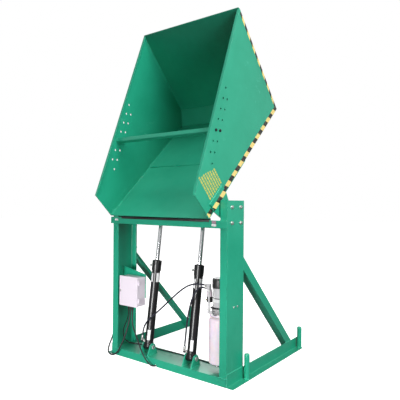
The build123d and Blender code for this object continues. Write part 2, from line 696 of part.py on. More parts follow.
# ---------------------------------------------------------------- control box
BOX_RIGHT = BOX_LEFT + BOX_WIDTH
BOX_TOP = BOX_BOTTOM + BOX_HEIGHT
BOX_BACK = FRONT_Y + BOX_DEPTH
BODY_LEFT = BOX_LEFT + BOX_WALL + DOOR_GAP
BODY_RIGHT = BOX_RIGHT - BOX_WALL - DOOR_GAP
BODY_BOTTOM = BOX_BOTTOM + BOX_WALL + DOOR_GAP
BODY_TOP = BOX_TOP - BOX_WALL - DOOR_GAP
HINGE_X = BOX_RIGHT + DOOR_HINGE_OUT + KNUCKLE_D / 4
HINGE_Y = FRONT_Y + DOOR_RIM + KNUCKLE_D / 2
HINGE_Z = (BOX_BOTTOM + BOX_HEIGHT * 0.2, BOX_BOTTOM + BOX_HEIGHT * 0.8)


def make_control_plate():
    y0 = BOX_BACK
    outline = [
        (-COLUMN_IN, CONTROL_PLATE_TOP), (BOX_RIGHT, CONTROL_PLATE_TIP),
        (BOX_RIGHT, CONTROL_PLATE_BOTTOM + 40), (-COLUMN_IN, CONTROL_PLATE_BOTTOM),
    ]
    face = make_face(Polyline(*outline, close=True))
    plane = Plane(origin=(0, y0, 0), x_dir=(1, 0, 0), z_dir=(0, -1, 0))
    nodes["control_plate"] = extrude(plane * face, amount=-CONTROL_PLATE_T)


def make_box():
    wall = BOX_WALL
    front = FRONT_Y + wall + 1
    body = block(BODY_LEFT, BODY_RIGHT, front, BOX_BACK, BODY_BOTTOM, BODY_TOP)
    body = fillet(body.edges().filter_by(Axis.Y), 4)
    body -= block(BODY_LEFT + wall, BODY_RIGHT - wall, front - 1, BOX_BACK - wall,
                  BODY_BOTTOM + wall, BODY_TOP - wall)
    gland_y = FRONT_Y + GLAND_SETBACK
    for x in GLAND_X:
        body -= rod_z(x, gland_y, BODY_BOTTOM - 1, BODY_BOTTOM + wall + 1, GLAND_BODY_D - 5)
    knuckle_half = KNUCKLE_LENGTH / 2
    door_knuckles = []
    for z in HINGE_Z:
        for low in (z - 3 * knuckle_half, z + knuckle_half):
            high = low + KNUCKLE_LENGTH
            body += block(BODY_RIGHT - 1, HINGE_X, HINGE_Y - 2, HINGE_Y + 2, low, high)
            body += rod_z(HINGE_X, HINGE_Y, low, high, KNUCKLE_D)
        body += rod_z(HINGE_X, HINGE_Y, z - 3 * knuckle_half, z + 3 * knuckle_half, KNUCKLE_PIN_D)
        shorter = knuckle_half - 0.5
        knuckle = rod_z(HINGE_X, HINGE_Y, z - shorter, z + shorter, KNUCKLE_D)
        knuckle += block(BOX_RIGHT - 1, HINGE_X, HINGE_Y - KNUCKLE_D + 1, HINGE_Y - KNUCKLE_D / 4,
                         z - shorter, z + shorter)
        knuckle -= rod_z(HINGE_X, HINGE_Y, z - knuckle_half, z + knuckle_half,
                         KNUCKLE_PIN_D + 2 * RUNNING_GAP)
        door_knuckles.append(knuckle)
    nodes["box_body"] = body

    door = block(BOX_LEFT, BOX_RIGHT, FRONT_Y, FRONT_Y + DOOR_RIM, BOX_BOTTOM, BOX_TOP)
    door = fillet(door.edges().filter_by(Axis.Y), 5)
    door = fillet(door.edges().group_by(Axis.Y)[0], 2)
    door -= block(BOX_LEFT + wall, BOX_RIGHT - wall, FRONT_Y + wall, FRONT_Y + DOOR_RIM + 1,
                  BOX_BOTTOM + wall, BOX_TOP - wall)
    for knuckle in door_knuckles:
        door += knuckle
    latch = Pos(BOX_LEFT + 18, FRONT_Y, (BOX_BOTTOM + BOX_TOP) / 2) * Rot(90, 0, 0)
    door += latch * Cylinder(9, 8)
    nodes["box_door"] = door


def centred_block(x, y_face, z, size):
    """A box of width, depth and height in front of y_face, centred on x and z."""
    width, depth, height = size
    return block(x - width / 2, x + width / 2, y_face - depth, y_face, z - height / 2, z + height / 2)


def make_control_gear():
    back = BOX_BACK - BOX_WALL
    panel_face = back - PANEL_STANDOFF
    left = BODY_LEFT + PANEL_INSET
    right = BODY_RIGHT - PANEL_INSET
    bottom = BODY_BOTTOM + PANEL_INSET
    top = BODY_TOP - PANEL_INSET
    panel = block(left, right, panel_face, panel_face + PANEL_T, bottom, top)
    for x in (left + PANEL_POST_D, right - PANEL_POST_D):
        for z in (bottom + PANEL_POST_D, top - PANEL_POST_D):
            post = Cylinder(PANEL_POST_D / 2, back - panel_face - PANEL_T)
            panel += Pos(x, (panel_face + PANEL_T + back) / 2, z) * Rot(90, 0, 0) * post
    rail_z = BODY_TOP - RAIL_DROP
    rail_face = panel_face - RAIL_T
    panel += centred_block((left + right) / 2, panel_face, rail_z, (right - left - 12, RAIL_T, RAIL_WIDTH))
    strip_z = BODY_BOTTOM + STRIP_RISE
    for index in range(TERMINAL_COUNT):
        x = left + PANEL_INSET + TERMINAL_SIZE[0] / 2 + index * TERMINAL_PITCH
        panel += centred_block(x, panel_face, strip_z, TERMINAL_SIZE)
    nodes["mounting_panel"] = panel
    x = (BODY_LEFT + BODY_RIGHT) / 2 - 45
    contactor = centred_block(x, rail_face, rail_z, CONTACTOR_SIZE)
    contactor += centred_block(x, rail_face - CONTACTOR_SIZE[1], rail_z, CONTACTOR_NOSE)
    nodes["contactor"] = contactor
    x = right - 8 - TRANSFORMER_SIZE[0] / 2
    z = strip_z + 6
    transformer = centred_block(x, panel_face, z, TRANSFORMER_SIZE)
    transformer += centred_block(x, panel_face - TRANSFORMER_SIZE[1], z, WINDING_SIZE)
    nodes["transformer"] = transformer


def make_glands():
    bodies = []
    for x, size in zip(GLAND_X, (MOTOR_CABLE_D, PENDANT_CORD_D, SUPPLY_D)):
        y = FRONT_Y + GLAND_SETBACK
        low = BODY_BOTTOM - GLAND_LENGTH + 6
        hexagon = extrude(RegularPolygon(GLAND_BODY_D / 2, 6, major_radius=False), amount=9)
        body = Pos(x, y, BODY_BOTTOM - 9) * hexagon
        body += rod_z(x, y, low, BODY_BOTTOM - 9, GLAND_BODY_D - 2)
        body += rod_z(x, y, low - 6, low, size + 5)
        bodies.append(body)
    nodes["cable_glands"] = group(bodies)


# ---------------------------------------------------------------- power unit
UNIT_Y = FRONT_Y + UNIT_SETBACK
MANIFOLD_TOP = TANK_TOP + MANIFOLD_H
MOTOR_BOTTOM = MANIFOLD_TOP + UNIT_PLATE_T
MOTOR_TOP = MOTOR_BOTTOM + MOTOR_H


def make_power_unit():
    tank = rod_z(UNIT_X, UNIT_Y, TANK_BOTTOM, TANK_TOP, TANK_D)
    tank = fillet(tank.edges().group_by(Axis.Z)[-1], TANK_SHOULDER)
    tank = fillet(tank.edges().group_by(Axis.Z)[0], 8)
    hollow = rod_z(UNIT_X, UNIT_Y, TANK_BOTTOM + TANK_WALL, TANK_TOP - TANK_SHOULDER,
                   TANK_D - 2 * TANK_WALL)
    nodes["reservoir"] = tank - hollow
    half = MANIFOLD_SIZE / 2
    manifold = block(UNIT_X - half, UNIT_X + half, UNIT_Y - half, UNIT_Y + half, TANK_TOP, MANIFOLD_TOP)
    manifold = fillet(manifold.edges().filter_by(Axis.Z), 22)
    nodes["manifold"] = manifold
    spread = UNIT_PLATE_WIDTH / 2
    plate = block(UNIT_X - half, COLUMN_IN, UNIT_Y - spread, UNIT_Y + spread, MANIFOLD_TOP, MOTOR_BOTTOM)
    plate = fillet(plate.edges().filter_by(Axis.Z).group_by(Axis.X)[0], 20)
    plate += block(COLUMN_IN - CONTROL_PLATE_T, COLUMN_IN, UNIT_Y - spread, UNIT_Y + spread,
                   MANIFOLD_TOP, UNIT_BOLT_Z + 32)
    for y, z in unit_bolt_places():
        plate -= rod_x(COLUMN_IN - 20, COLUMN_IN + 1, y, z, UNIT_BOLT_D + 2 * BOLT_GAP)
    nodes["power_unit_plate"] = plate
    nodes["motor_body"] = rod_z(UNIT_X, UNIT_Y, MOTOR_BOTTOM, MOTOR_TOP, MOTOR_D)
    cap = rod_z(UNIT_X, UNIT_Y, MOTOR_TOP, MOTOR_TOP + MOTOR_CAP_H, MOTOR_CAP_D)
    nodes["motor_cap"] = fillet(cap.edges().group_by(Axis.Z)[-1], 14)
    reach = (TANK_D / 2 - FILLER_D / 2 - 2) / math.sqrt(2)
    filler = rod_z(UNIT_X - reach, UNIT_Y - reach, TANK_TOP - TANK_SHOULDER, TANK_TOP + 18, FILLER_D)
    nodes["filler_cap"] = filler - tank
    sol_y = FRONT_Y + SOLENOID_SETBACK
    cone_start = SOLENOID_BOTTOM + SOLENOID_BASE_H
    wide, narrow = SOLENOID_CONE_D
    solenoid = rod_z(SOLENOID_X, sol_y, SOLENOID_BOTTOM, cone_start, SOLENOID_D)
    cone = Cone(wide / 2, narrow / 2, SOLENOID_CONE_H)
    solenoid += Pos(SOLENOID_X, sol_y, cone_start + SOLENOID_CONE_H / 2) * cone
    thick, low, high = SOLENOID_STRAP
    strap = block(SOLENOID_X, UNIT_X - MOTOR_D * 0.3, sol_y - thick / 2, sol_y + thick / 2,
                  SOLENOID_BOTTOM + low, SOLENOID_BOTTOM + high)
    solenoid += strap - nodes["motor_body"]
    nodes["start_solenoid"] = solenoid


def make_pressure_line():
    y = FRONT_Y + TEE_SETBACK
    port_z = TANK_TOP + MANIFOLD_H / 2
    port_y = UNIT_Y - MANIFOLD_SIZE / 2
    port_x = UNIT_X - 20
    half = LINE_BLOCK / 2
    line = block(TEE_X - half, port_x + half, y - half, y + half, port_z - half, port_z + half)
    line += Pos(port_x, (y + port_y) / 2, port_z) * Rot(90, 0, 0) * Cylinder(half, port_y - y)
    line += rod_z(TEE_X, y, port_z, TEE_HEIGHT, LINE_D)
    tee_half = TEE_SIZE / 2
    line += block(TEE_X - tee_half, TEE_X + tee_half, y - tee_half, y + tee_half,
                  TEE_HEIGHT - TEE_SIZE, TEE_HEIGHT + TEE_SIZE - 4)
    fittings = [line]
    for start, port in ((HOSE_LEFT_START, -CYLINDER_X), (HOSE_RIGHT_START, CYLINDER_X)):
        x, setback, z = start
        ferrule = rod_x(x, TEE_X - tee_half, FRONT_Y + setback, z, HOSE_D + 6)
        fittings.append(ferrule)
        end = hose_port(port)
        fittings.append(end * Pos(0, 0, FERRULE_GAP + FERRULE / 2) * Cylinder(HOSE_D / 2 + 3, FERRULE))
    nodes["pressure_fittings"] = group(fittings)


# ---------------------------------------------------------------- hand control
def make_pendant():
    depth, width, height = PENDANT_SIZE
    x_in = -COLUMN_OUT - PENDANT_STANDOFF
    x_out = x_in - depth
    y0 = FRONT_Y + PENDANT_Y - width / 2
    top = PENDANT_BOTTOM + height
    body = block(x_out, x_in, y0, y0 + width, PENDANT_BOTTOM, top)
    body = fillet(body.edges().filter_by(Axis.Z), 9)
    body = fillet(body.edges().group_by(Axis.Z)[-1], 4)
    x_mid = (x_in + x_out) / 2
    y_mid = y0 + width / 2
    bail = Pos(x_mid, y_mid, top + 16) * Rot(0, 0, 90) * Rot(90, 0, 0) * Torus(18, 3)
    body += bail
    centre_z = PENDANT_BOTTOM + height * 0.58
    heights = (centre_z + BUTTON_PITCH / 2, centre_z - BUTTON_PITCH / 2)
    for z in heights:
        body -= rod_x(x_out - 1, x_out + BUTTON_STEM + 5, y_mid, z, BUTTON_D + 2 * RUNNING_GAP)
    body += rod_z(x_mid, y_mid, PENDANT_BOTTOM - 22, PENDANT_BOTTOM, 22)
    nodes["pendant_body"] = body
    for name, z in zip(("raise_button", "lower_button"), heights):
        button = rod_x(x_out - BUTTON_PROUD, x_out + BUTTON_STEM, y_mid, z, BUTTON_D)
        nodes[name] = fillet(button.edges().group_by(Axis.X)[0], 2.5)
    hook_z = top + 16 + 18 - 3 - 5
    hook = rod_x(-COLUMN_OUT, x_mid - 12, y_mid, hook_z, 8)
    hook += rod_z(x_mid - 12, y_mid, hook_z, hook_z + 16, 8)
    hook += Pos(x_mid - 12, y_mid, hook_z) * Sphere(4)
    hook += rod_x(-COLUMN_OUT, -COLUMN_OUT - 4, y_mid, hook_z, 30)
    nodes["pendant_hook"] = hook
    return x_mid, y_mid, PENDANT_BOTTOM - 22


# ---------------------------------------------------------------- cords and hoses
BOX_OUTLET = BODY_BOTTOM - GLAND_LENGTH
HOSE_LEFT_START = (372.0, 45.0, 712.0)
HOSE_RIGHT_START = (372.0, 45.0, 691.0)

PENDANT_ROUTE = [
    (GLAND_X[1], GLAND_SETBACK, BOX_OUTLET), (GLAND_X[1], GLAND_SETBACK, 374), (-434, 42, 324), (-438, 31, 272),
    (-446, 20, 220), (-458, 7, 168), (-472, -6, 120), (-488, -18, 78), (-507, -27, 42),
    (-534, -33, 17), (-568, -36, 8), (-604, -33, 10), (-634, -22, 26), (-644, -3, 62),
    (-641, 20, 108), (-636, 42, 160), (-632, 62, 220), (-630, 78, 288), (-630, 91, 360),
    (-631, 101, 436), (-632, 109, 514), (-632, PENDANT_Y, 592),
]
SUPPLY_ROUTE = [
    (GLAND_X[2], GLAND_SETBACK, BOX_OUTLET), (GLAND_X[2], GLAND_SETBACK, 384), (-403, 46, 345), (-397, 39, 305),
    (-383, 34, 268), (-358, 27, 234), (-328, 18, 202), (-298, 8, 170), (-267, -4, 138),
    (-235, -15, 107), (-204, -23, 77), (-172, -27, 49), (-140, -28, 24), (-113, -24, 9.5),
    (-94, -8, 5.8), (-86, 17, 5.7), (-82, 50, 5.7), (-80, 84, 5.7),
]
MOTOR_ROUTE = [
    (GLAND_X[0], GLAND_SETBACK, BOX_OUTLET), (GLAND_X[0], GLAND_SETBACK, 380), (-467, 56, 336), (-490, 63, 294),
    (-517, 69, 255), (-542, 75, 215), (-557, 83, 173), (-560, 96, 132), (-556, 117, 97),
    (-541, 144, 75), (-514, 168, 67.2), (-476, 184, 66.6), (-428, 193, 66.6), (-372, 196, 66.6),
    (-310, 194, 66.6), (-248, 191, 66.6), (-184, 194, 66.6), (-120, 200, 66.6), (-56, 205, 66.6),
    (10, 207, 66.6), (76, 206, 66.6), (142, 203, 66.6), (206, 201, 66.6), (268, 197, 66.6),
    (326, 190, 66.6), (382, 184, 66.6), (436, 184, 66.8), (484, 189, 67.2), (523, 194, 72),
    (551, 198, 92), (565, 201, 128), (569, 203, 180), (569, 203.5, 240), (568, 203, 304),
    (569, 203.5, 368), (569, 203, 432), (568, 203.5, 492), (563, 203, 546), (549, 200, 590),
    (530, 190, 622), (511, 174, 640),
]
HOSE_LEFT_ROUTE = [
    HOSE_LEFT_START, (334, 45, 712), (292, 44.5, 710), (250, 42, 702), (209, 39, 686),
    (169, 36, 662), (128, 33, 631), (85, 31, 595), (41, 30, 558), (-2, 30, 520), (-46, 31, 482),
    (-90, 33, 446), (-135, 36, 411), (-179, 39, 376), (-220, 42, 341), (-249, 45, 308),
    (-266, 46.5, 275),
]
HOSE_RIGHT_ROUTE = [
    HOSE_RIGHT_START, (345, 45, 691), (318, 46, 682), (291, 47, 661), (268, 47, 630),
    (249, 46, 590), (234, 45, 546), (221, 45, 499), (210, 45, 452), (201, 46, 404),
    (194, 47, 356), (188, 48, 310), (184, 47.5, 272),
]


def make_cords(pendant_inlet):
    x_in, y_in, z_in = pendant_inlet
    pendant = from_front(PENDANT_ROUTE) + [(x_in, y_in, z_in)]
    nodes["pendant_cord"] = cord("pendant_cord", pendant, PENDANT_CORD_D)
    nodes["motor_cable"] = cord("motor_cable", from_front(MOTOR_ROUTE), MOTOR_CABLE_D)
    cx, cy = COIL_CENTRE
    supply = from_front(SUPPLY_ROUTE) + [(cx - COIL_RADIUS, cy, SUPPLY_D / 2)]
    nodes["supply_cord"] = cord("supply_cord", supply, SUPPLY_D)
    height = SUPPLY_D * COIL_LAYERS
    ring = Pos(cx, cy, height / 2) * (Cylinder(COIL_RADIUS + SUPPLY_D, height)
                                      - Cylinder(COIL_RADIUS - SUPPLY_D, height))
    ring = fillet(ring.edges(), SUPPLY_D * 0.4)
    tail = rod_x(cx, cx + COIL_TAIL, cy + COIL_RADIUS + SUPPLY_D / 2, height - SUPPLY_D / 2, SUPPLY_D)
    nodes["supply_coil"] = ring - nodes["supply_cord"] + tail
    turns = 2 * COIL_LAYERS
    print("supply cord in the coil:", round(turns * 2 * math.pi * COIL_RADIUS))
    for side, centre, route in (
        ("left", -CYLINDER_X, HOSE_LEFT_ROUTE), ("right", CYLINDER_X, HOSE_RIGHT_ROUTE)
    ):
        port = hose_port(centre)
        end = (port * Pos(0, 0, FERRULE_GAP + FERRULE)).position
        before = (port * Pos(0, 0, FERRULE_GAP + FERRULE + HOSE_END_RUN)).position
        points = from_front(route) + [tuple(before), tuple(end)]
        nodes[f"hose_{side}"] = cord(f"hose_{side}", points, HOSE_D)


def make_plug():
    """The plug lies beside the coil, in line with the cord's tail."""
    x0 = COIL_CENTRE[0] + COIL_TAIL
    y = COIL_CENTRE[1] + COIL_RADIUS + SUPPLY_D / 2
    radius = PLUG_D / 2
    body_start = x0 + PLUG_NECK
    body_end = body_start + PLUG_LENGTH
    plug = fillet(rod_x(body_start, body_end, y, radius, PLUG_D).edges(), 3)
    plug += rod_x(x0, body_start + 1, y, radius, PLUG_NECK_D)
    width, thick, length = PLUG_BLADE
    for dy in (-PLUG_PITCH / 2, PLUG_PITCH / 2):
        plug += block(body_end - 1, body_end + length, y + dy - thick / 2, y + dy + thick / 2,
                      radius - width / 2, radius + width / 2)
    plug += rod_x(body_end - 1, body_end + length + 2, y, radius - 9, 4.8)
    nodes["supply_plug"] = plug


# ---------------------------------------------------------------- build
make_base()
make_columns()
make_legs()
make_braces()
make_posts()
make_beam()
make_base_lugs()
make_bearings()
make_side_plates()
make_tray()
make_stiffeners()
make_pivot()
make_rod_lugs()
make_retainer()
make_cylinder("left", -CYLINDER_X)
make_cylinder("right", CYLINDER_X)
make_control_plate()
make_box()
make_control_gear()
make_glands()
make_power_unit()
make_pressure_line()
make_cords(make_pendant())
make_plug()

os.makedirs("parts", exist_ok=True)
for name, shape in nodes.items():
    export_step(shape, f"parts/{name}.step")

print(f"pivot {PIVOT.Y:.2f} {PIVOT.Z:.2f}; base pin {BASE_PIN.Y:.2f} {BASE_PIN.Z:.2f};",
      f"rod pin {ROD_PIN.Y:.3f} {ROD_PIN.Z:.3f}")
print(f"stroke {STROKE:.3f}; tilt {CYLINDER_TILT:.4f} tipped, {LOWERED_TILT:.4f} lowered")
print(f"door hinge {HINGE_X:.2f} {HINGE_Y:.2f}; {len(nodes)} nodes")
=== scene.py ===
"""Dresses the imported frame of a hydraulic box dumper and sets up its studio.

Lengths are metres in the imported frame: +Z up, +Y to the back, +X to the right.
"""
import math

import bmesh
import bpy
from mathutils import Matrix, Vector


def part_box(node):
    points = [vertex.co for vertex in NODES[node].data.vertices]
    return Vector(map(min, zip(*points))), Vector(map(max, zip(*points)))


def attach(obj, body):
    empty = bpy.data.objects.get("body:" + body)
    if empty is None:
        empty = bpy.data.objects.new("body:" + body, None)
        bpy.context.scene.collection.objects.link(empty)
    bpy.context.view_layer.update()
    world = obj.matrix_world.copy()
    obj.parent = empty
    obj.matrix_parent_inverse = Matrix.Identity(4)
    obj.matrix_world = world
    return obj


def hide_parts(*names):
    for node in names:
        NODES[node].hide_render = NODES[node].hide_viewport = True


bl_info = {
    "name": "Box Dumper Dressing",
    "version": (1, 0, 0),
    "blender": (4, 5, 0),
    "location": "3D View > Sidebar > Dumper",
    "description": "Paint, welds, fittings, cords and studio for a hydraulic box dumper",
    "category": "Object",
}

shift = Matrix.Translation

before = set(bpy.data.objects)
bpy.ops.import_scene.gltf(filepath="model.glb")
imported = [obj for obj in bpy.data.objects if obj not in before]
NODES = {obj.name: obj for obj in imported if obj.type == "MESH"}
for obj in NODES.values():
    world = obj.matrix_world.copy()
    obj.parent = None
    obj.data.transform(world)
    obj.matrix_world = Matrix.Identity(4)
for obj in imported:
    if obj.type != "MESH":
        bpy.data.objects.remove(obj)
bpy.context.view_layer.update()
PIVOT_Y, PIVOT_Z = 0.1125, 1.2465
PIVOT = Vector((0, PIVOT_Y, PIVOT_Z))
PLATE_FACE = 0.517              # outer face of a side plate
BEAM_FACE = -0.025              # front of the front beam
# The adjusting holes of a side plate, in u and v, and the row that holds the bar.
EDGE_RUN = (-0.700, 1.415)
FRONT_HOLE = (0.575, 0.591)
REAR_SHIFT = (-0.035, -0.039)
HOLE_PITCH = 0.089
BAR_ROW = 4
# From the chute's own axes (x, u, v) to where the chute stands tipped.
CHUTE = (
    shift(PIVOT)
    @ Matrix.Rotation(math.radians(133), 4, "X")
    @ shift((0, 0.140, -1.2225))
)
CYLINDER_X = 0.228
BASE_PIN = (0.062, 0.122)       # Y and Z of both base pins
LEAN = math.radians(7.8563)     # of both cylinders, forwards from the base pin
BARREL_R = 0.036
SIDES = (("left", -1), ("right", 1))

# ---------------------------------------------------------------- routes of the cords and hoses
PENDANT_ROUTE = [
    (-0.43, 0.045, 0.4245), (-0.43, 0.045, 0.374), (-0.434, 0.037, 0.324), (-0.438, 0.026, 0.272),
    (-0.446, 0.015, 0.22), (-0.458, 0.002, 0.168), (-0.472, -0.011, 0.12), (-0.488, -0.023, 0.078),
    (-0.507, -0.032, 0.042), (-0.534, -0.038, 0.017), (-0.568, -0.041, 0.008),
    (-0.604, -0.038, 0.01), (-0.634, -0.027, 0.026), (-0.644, -0.008, 0.062),
    (-0.641, 0.015, 0.108), (-0.636, 0.037, 0.16), (-0.632, 0.057, 0.22), (-0.63, 0.073, 0.288),
    (-0.63, 0.086, 0.36), (-0.631, 0.096, 0.436), (-0.632, 0.104, 0.514), (-0.632, 0.107, 0.592),
    (-0.632, 0.107, 0.668),
]
SUPPLY_ROUTE = [
    (-0.405, 0.045, 0.4245), (-0.405, 0.045, 0.384), (-0.403, 0.041, 0.345), (-0.397, 0.034, 0.305),
    (-0.383, 0.029, 0.268), (-0.358, 0.022, 0.234), (-0.328, 0.013, 0.202), (-0.298, 0.003, 0.17),
    (-0.267, -0.009, 0.138), (-0.235, -0.02, 0.107), (-0.204, -0.028, 0.077),
    (-0.172, -0.032, 0.049), (-0.14, -0.033, 0.024), (-0.113, -0.029, 0.0095),
    (-0.094, -0.013, 0.0058), (-0.087, 0.012, 0.0057), (-0.087, 0.045, 0.0057),
    (-0.0865, 0.079, 0.0057),
]
MOTOR_ROUTE = [
    (-0.455, 0.045, 0.4245), (-0.455, 0.045, 0.38), (-0.467, 0.051, 0.336), (-0.49, 0.058, 0.294),
    (-0.517, 0.064, 0.255), (-0.542, 0.07, 0.215), (-0.557, 0.078, 0.173), (-0.56, 0.091, 0.132),
    (-0.556, 0.112, 0.097), (-0.541, 0.139, 0.075), (-0.514, 0.163, 0.0672),
    (-0.476, 0.179, 0.0666), (-0.428, 0.188, 0.0666), (-0.372, 0.191, 0.0666),
    (-0.31, 0.189, 0.0666), (-0.248, 0.186, 0.0666), (-0.184, 0.189, 0.0666),
    (-0.12, 0.195, 0.0666), (-0.056, 0.2, 0.0666), (0.01, 0.202, 0.0666), (0.076, 0.201, 0.0666),
    (0.142, 0.198, 0.0666), (0.206, 0.196, 0.0666), (0.268, 0.192, 0.0666), (0.326, 0.185, 0.0666),
    (0.382, 0.179, 0.0666), (0.436, 0.179, 0.0668), (0.484, 0.184, 0.0672), (0.523, 0.189, 0.072),
    (0.551, 0.193, 0.092), (0.565, 0.196, 0.128), (0.569, 0.198, 0.18), (0.569, 0.1985, 0.24),
    (0.568, 0.198, 0.304), (0.569, 0.1985, 0.368), (0.569, 0.198, 0.432), (0.568, 0.1985, 0.492),
    (0.563, 0.198, 0.546), (0.549, 0.195, 0.59), (0.53, 0.185, 0.622), (0.511, 0.169, 0.64),
]
HOSE_LEFT_ROUTE = [
    (0.372, 0.04, 0.712), (0.334, 0.04, 0.712), (0.292, 0.0395, 0.71), (0.25, 0.037, 0.702),
    (0.209, 0.034, 0.686), (0.169, 0.031, 0.662), (0.128, 0.028, 0.631), (0.085, 0.026, 0.595),
    (0.041, 0.025, 0.558), (-0.002, 0.025, 0.52), (-0.046, 0.026, 0.482), (-0.09, 0.028, 0.446),
    (-0.135, 0.031, 0.411), (-0.179, 0.034, 0.376), (-0.22, 0.037, 0.341), (-0.249, 0.04, 0.308),
    (-0.266, 0.0415, 0.275), (-0.274, 0.0396, 0.2417), (-0.274, 0.0355, 0.212),
]
HOSE_RIGHT_ROUTE = [
    (0.372, 0.04, 0.691), (0.345, 0.04, 0.691), (0.318, 0.041, 0.682), (0.291, 0.042, 0.661),
    (0.268, 0.042, 0.63), (0.249, 0.041, 0.59), (0.234, 0.04, 0.546), (0.221, 0.04, 0.499),
    (0.21, 0.04, 0.452), (0.201, 0.041, 0.404), (0.194, 0.042, 0.356), (0.188, 0.043, 0.31),
    (0.184, 0.0425, 0.272), (0.182, 0.0396, 0.2417), (0.182, 0.0355, 0.212),
]
COIL_CENTRE = (-0.020, 0.106)
COIL_INNER = 0.0545
COIL_OUTER = 0.0655
COIL_LOW = 0.0057
COIL_HIGH = 0.0168


# ---------------------------------------------------------------- settings
def colour_setting(name, description, default):
    return bpy.props.FloatVectorProperty(
        name=name, description=description, default=default, subtype="COLOR", size=3, min=0, max=1
    )


def length_setting(name, description, default):
    return bpy.props.FloatProperty(
        name=name, description=description, default=default, min=0.0001, unit="LENGTH", precision=4
    )


def light_setting(name, description, default):
    return bpy.props.FloatProperty(name=name, description=description, default=default, unit="POWER")


class DumperFinishes(bpy.types.PropertyGroup):
    enamel: colour_setting("Enamel", "Gloss green of the frame and chute", (0.022, 0.40, 0.245))
    enamel_deep: colour_setting("Enamel, thick", "Where the green lies thicker", (0.012, 0.33, 0.195))
    enamel_edge: colour_setting("Enamel, edges", "Thin, pale paint on edges", (0.11, 0.58, 0.41))
    box_coat: colour_setting("Box coat", "Powder coat of the control box", (0.86, 0.78, 0.87))
    ram_black: colour_setting("Ram black", "Gloss black of the cylinders", (0.006, 0.006, 0.007))
    tank: colour_setting("Tank", "Natural plastic of the oil tank", (0.93, 0.81, 0.90))
    tape_yellow: colour_setting("Tape yellow", "Light bands of the edge tape", (0.90, 0.70, 0.24))
    tape_black: colour_setting("Tape black", "Dark bands of the edge tape", (0.015, 0.015, 0.015))
    rubber: colour_setting("Rubber", "Sheath of the cords and hoses", (0.009, 0.009, 0.011))


class DumperSizes(bpy.types.PropertyGroup):
    bead: length_setting("Weld bead", "Half width of a weld bead", 0.0040)
    bead_step: length_setting("Weld step", "From one weld ripple to the next", 0.0050)
    tape_platform: length_setting("Platform tape", "Tape width along the platform's edge", 0.025)
    tape_back: length_setting("Back tape", "Tape width along the back's edge", 0.040)
    tape_band: length_setting("Tape band", "Length of one light and one dark band", 0.121)
    sticker: length_setting("Sticker thickness", "Thickness of tape and stickers", 0.0005)
    washer: length_setting("Washer radius", "Radius of the large washers", 0.0150)


class DumperStudio(bpy.types.PropertyGroup):
    floor: length_setting("Floor size", "Side of the square floor", 60.0)
    key: light_setting("Key light", "Power of the large light from the right", 205)
    top: light_setting("Top light", "Power of the overhead light", 85)
    side: light_setting("Side light", "Power of the low light from the front", 15)
    back: light_setting("Back light", "Power of the light from behind", 110)
    left: light_setting("Left light", "Power of the light from the left", 35)
    sky: bpy.props.FloatProperty(
        name="Sky", description="Brightness of the white surroundings", default=0.075, min=0)
    lens: bpy.props.FloatProperty(
        name="Lens", description="Focal length of the camera", default=40.29, unit="CAMERA")


def finishes():
    return bpy.context.scene.dumper_finishes


def sizes():
    return bpy.context.scene.dumper_sizes


# ---------------------------------------------------------------- shader groups
class Board:
    """A node tree with short ways to add a node, a mix and a link."""

    def __init__(self, tree):
        self.tree = tree

    def node(self, kind, links=None, **settings):
        made = self.tree.nodes.new(kind)
        for name, value in settings.items():
            setattr(made, name, value)
        for name, value in (links or {}).items():
            self.feed(made.inputs[name], value)
        return made

    def feed(self, socket, value):
        if isinstance(value, bpy.types.NodeSocket):
            self.tree.links.new(value, socket)
        elif socket.type == "RGBA" and len(value) == 3:
            socket.default_value = (*value, 1)
        else:
            socket.default_value = value

    def sum(self, operation, first, second=0.5):
        return self.node("ShaderNodeMath", {0: first, 1: second}, operation=operation).outputs[0]

    def product(self, first, second, third):
        return self.sum("MULTIPLY", self.sum("MULTIPLY", first, second), third)

    def place(self):
        return self.node("ShaderNodeTexCoord").outputs["Object"]

    def span(self, value, low, high, to_low=0.0, to_high=1.0):
        made = self.node("ShaderNodeMapRange", {
            "Value": value, "From Min": low, "From Max": high, "To Min": to_low, "To Max": to_high})
        return made.outputs["Result"]

    def blend(self, mask, first, second):
        made = self.node("ShaderNodeMix", data_type="RGBA")
        for index, value in ((0, mask), (6, first), (7, second)):
            self.feed(made.inputs[index], value)
        return made.outputs[2]

    def noise(self, place, scale, detail=3.0, rough=0.55):
        made = self.node("ShaderNodeTexNoise", {
            "Vector": place, "Scale": scale, "Detail": detail, "Roughness": rough})
        return made.outputs["Fac"]


def start_group(name, inputs, outputs):
    """A new shader group with its inputs (name, kind, value) and its outputs (name, kind)."""
    tree = bpy.data.node_groups.new(name, "ShaderNodeTree")
    for label, kind, value in inputs:
        socket = tree.interface.new_socket(label, in_out="INPUT", socket_type="NodeSocket" + kind)
        socket.default_value = (*value, 1) if kind == "Color" else value
    for label, kind in outputs:
        tree.interface.new_socket(label, in_out="OUTPUT", socket_type="NodeSocket" + kind)
    board = Board(tree)
    entry = board.node("NodeGroupInput").outputs
    leave = board.node("NodeGroupOutput").inputs
    return board, entry, leave


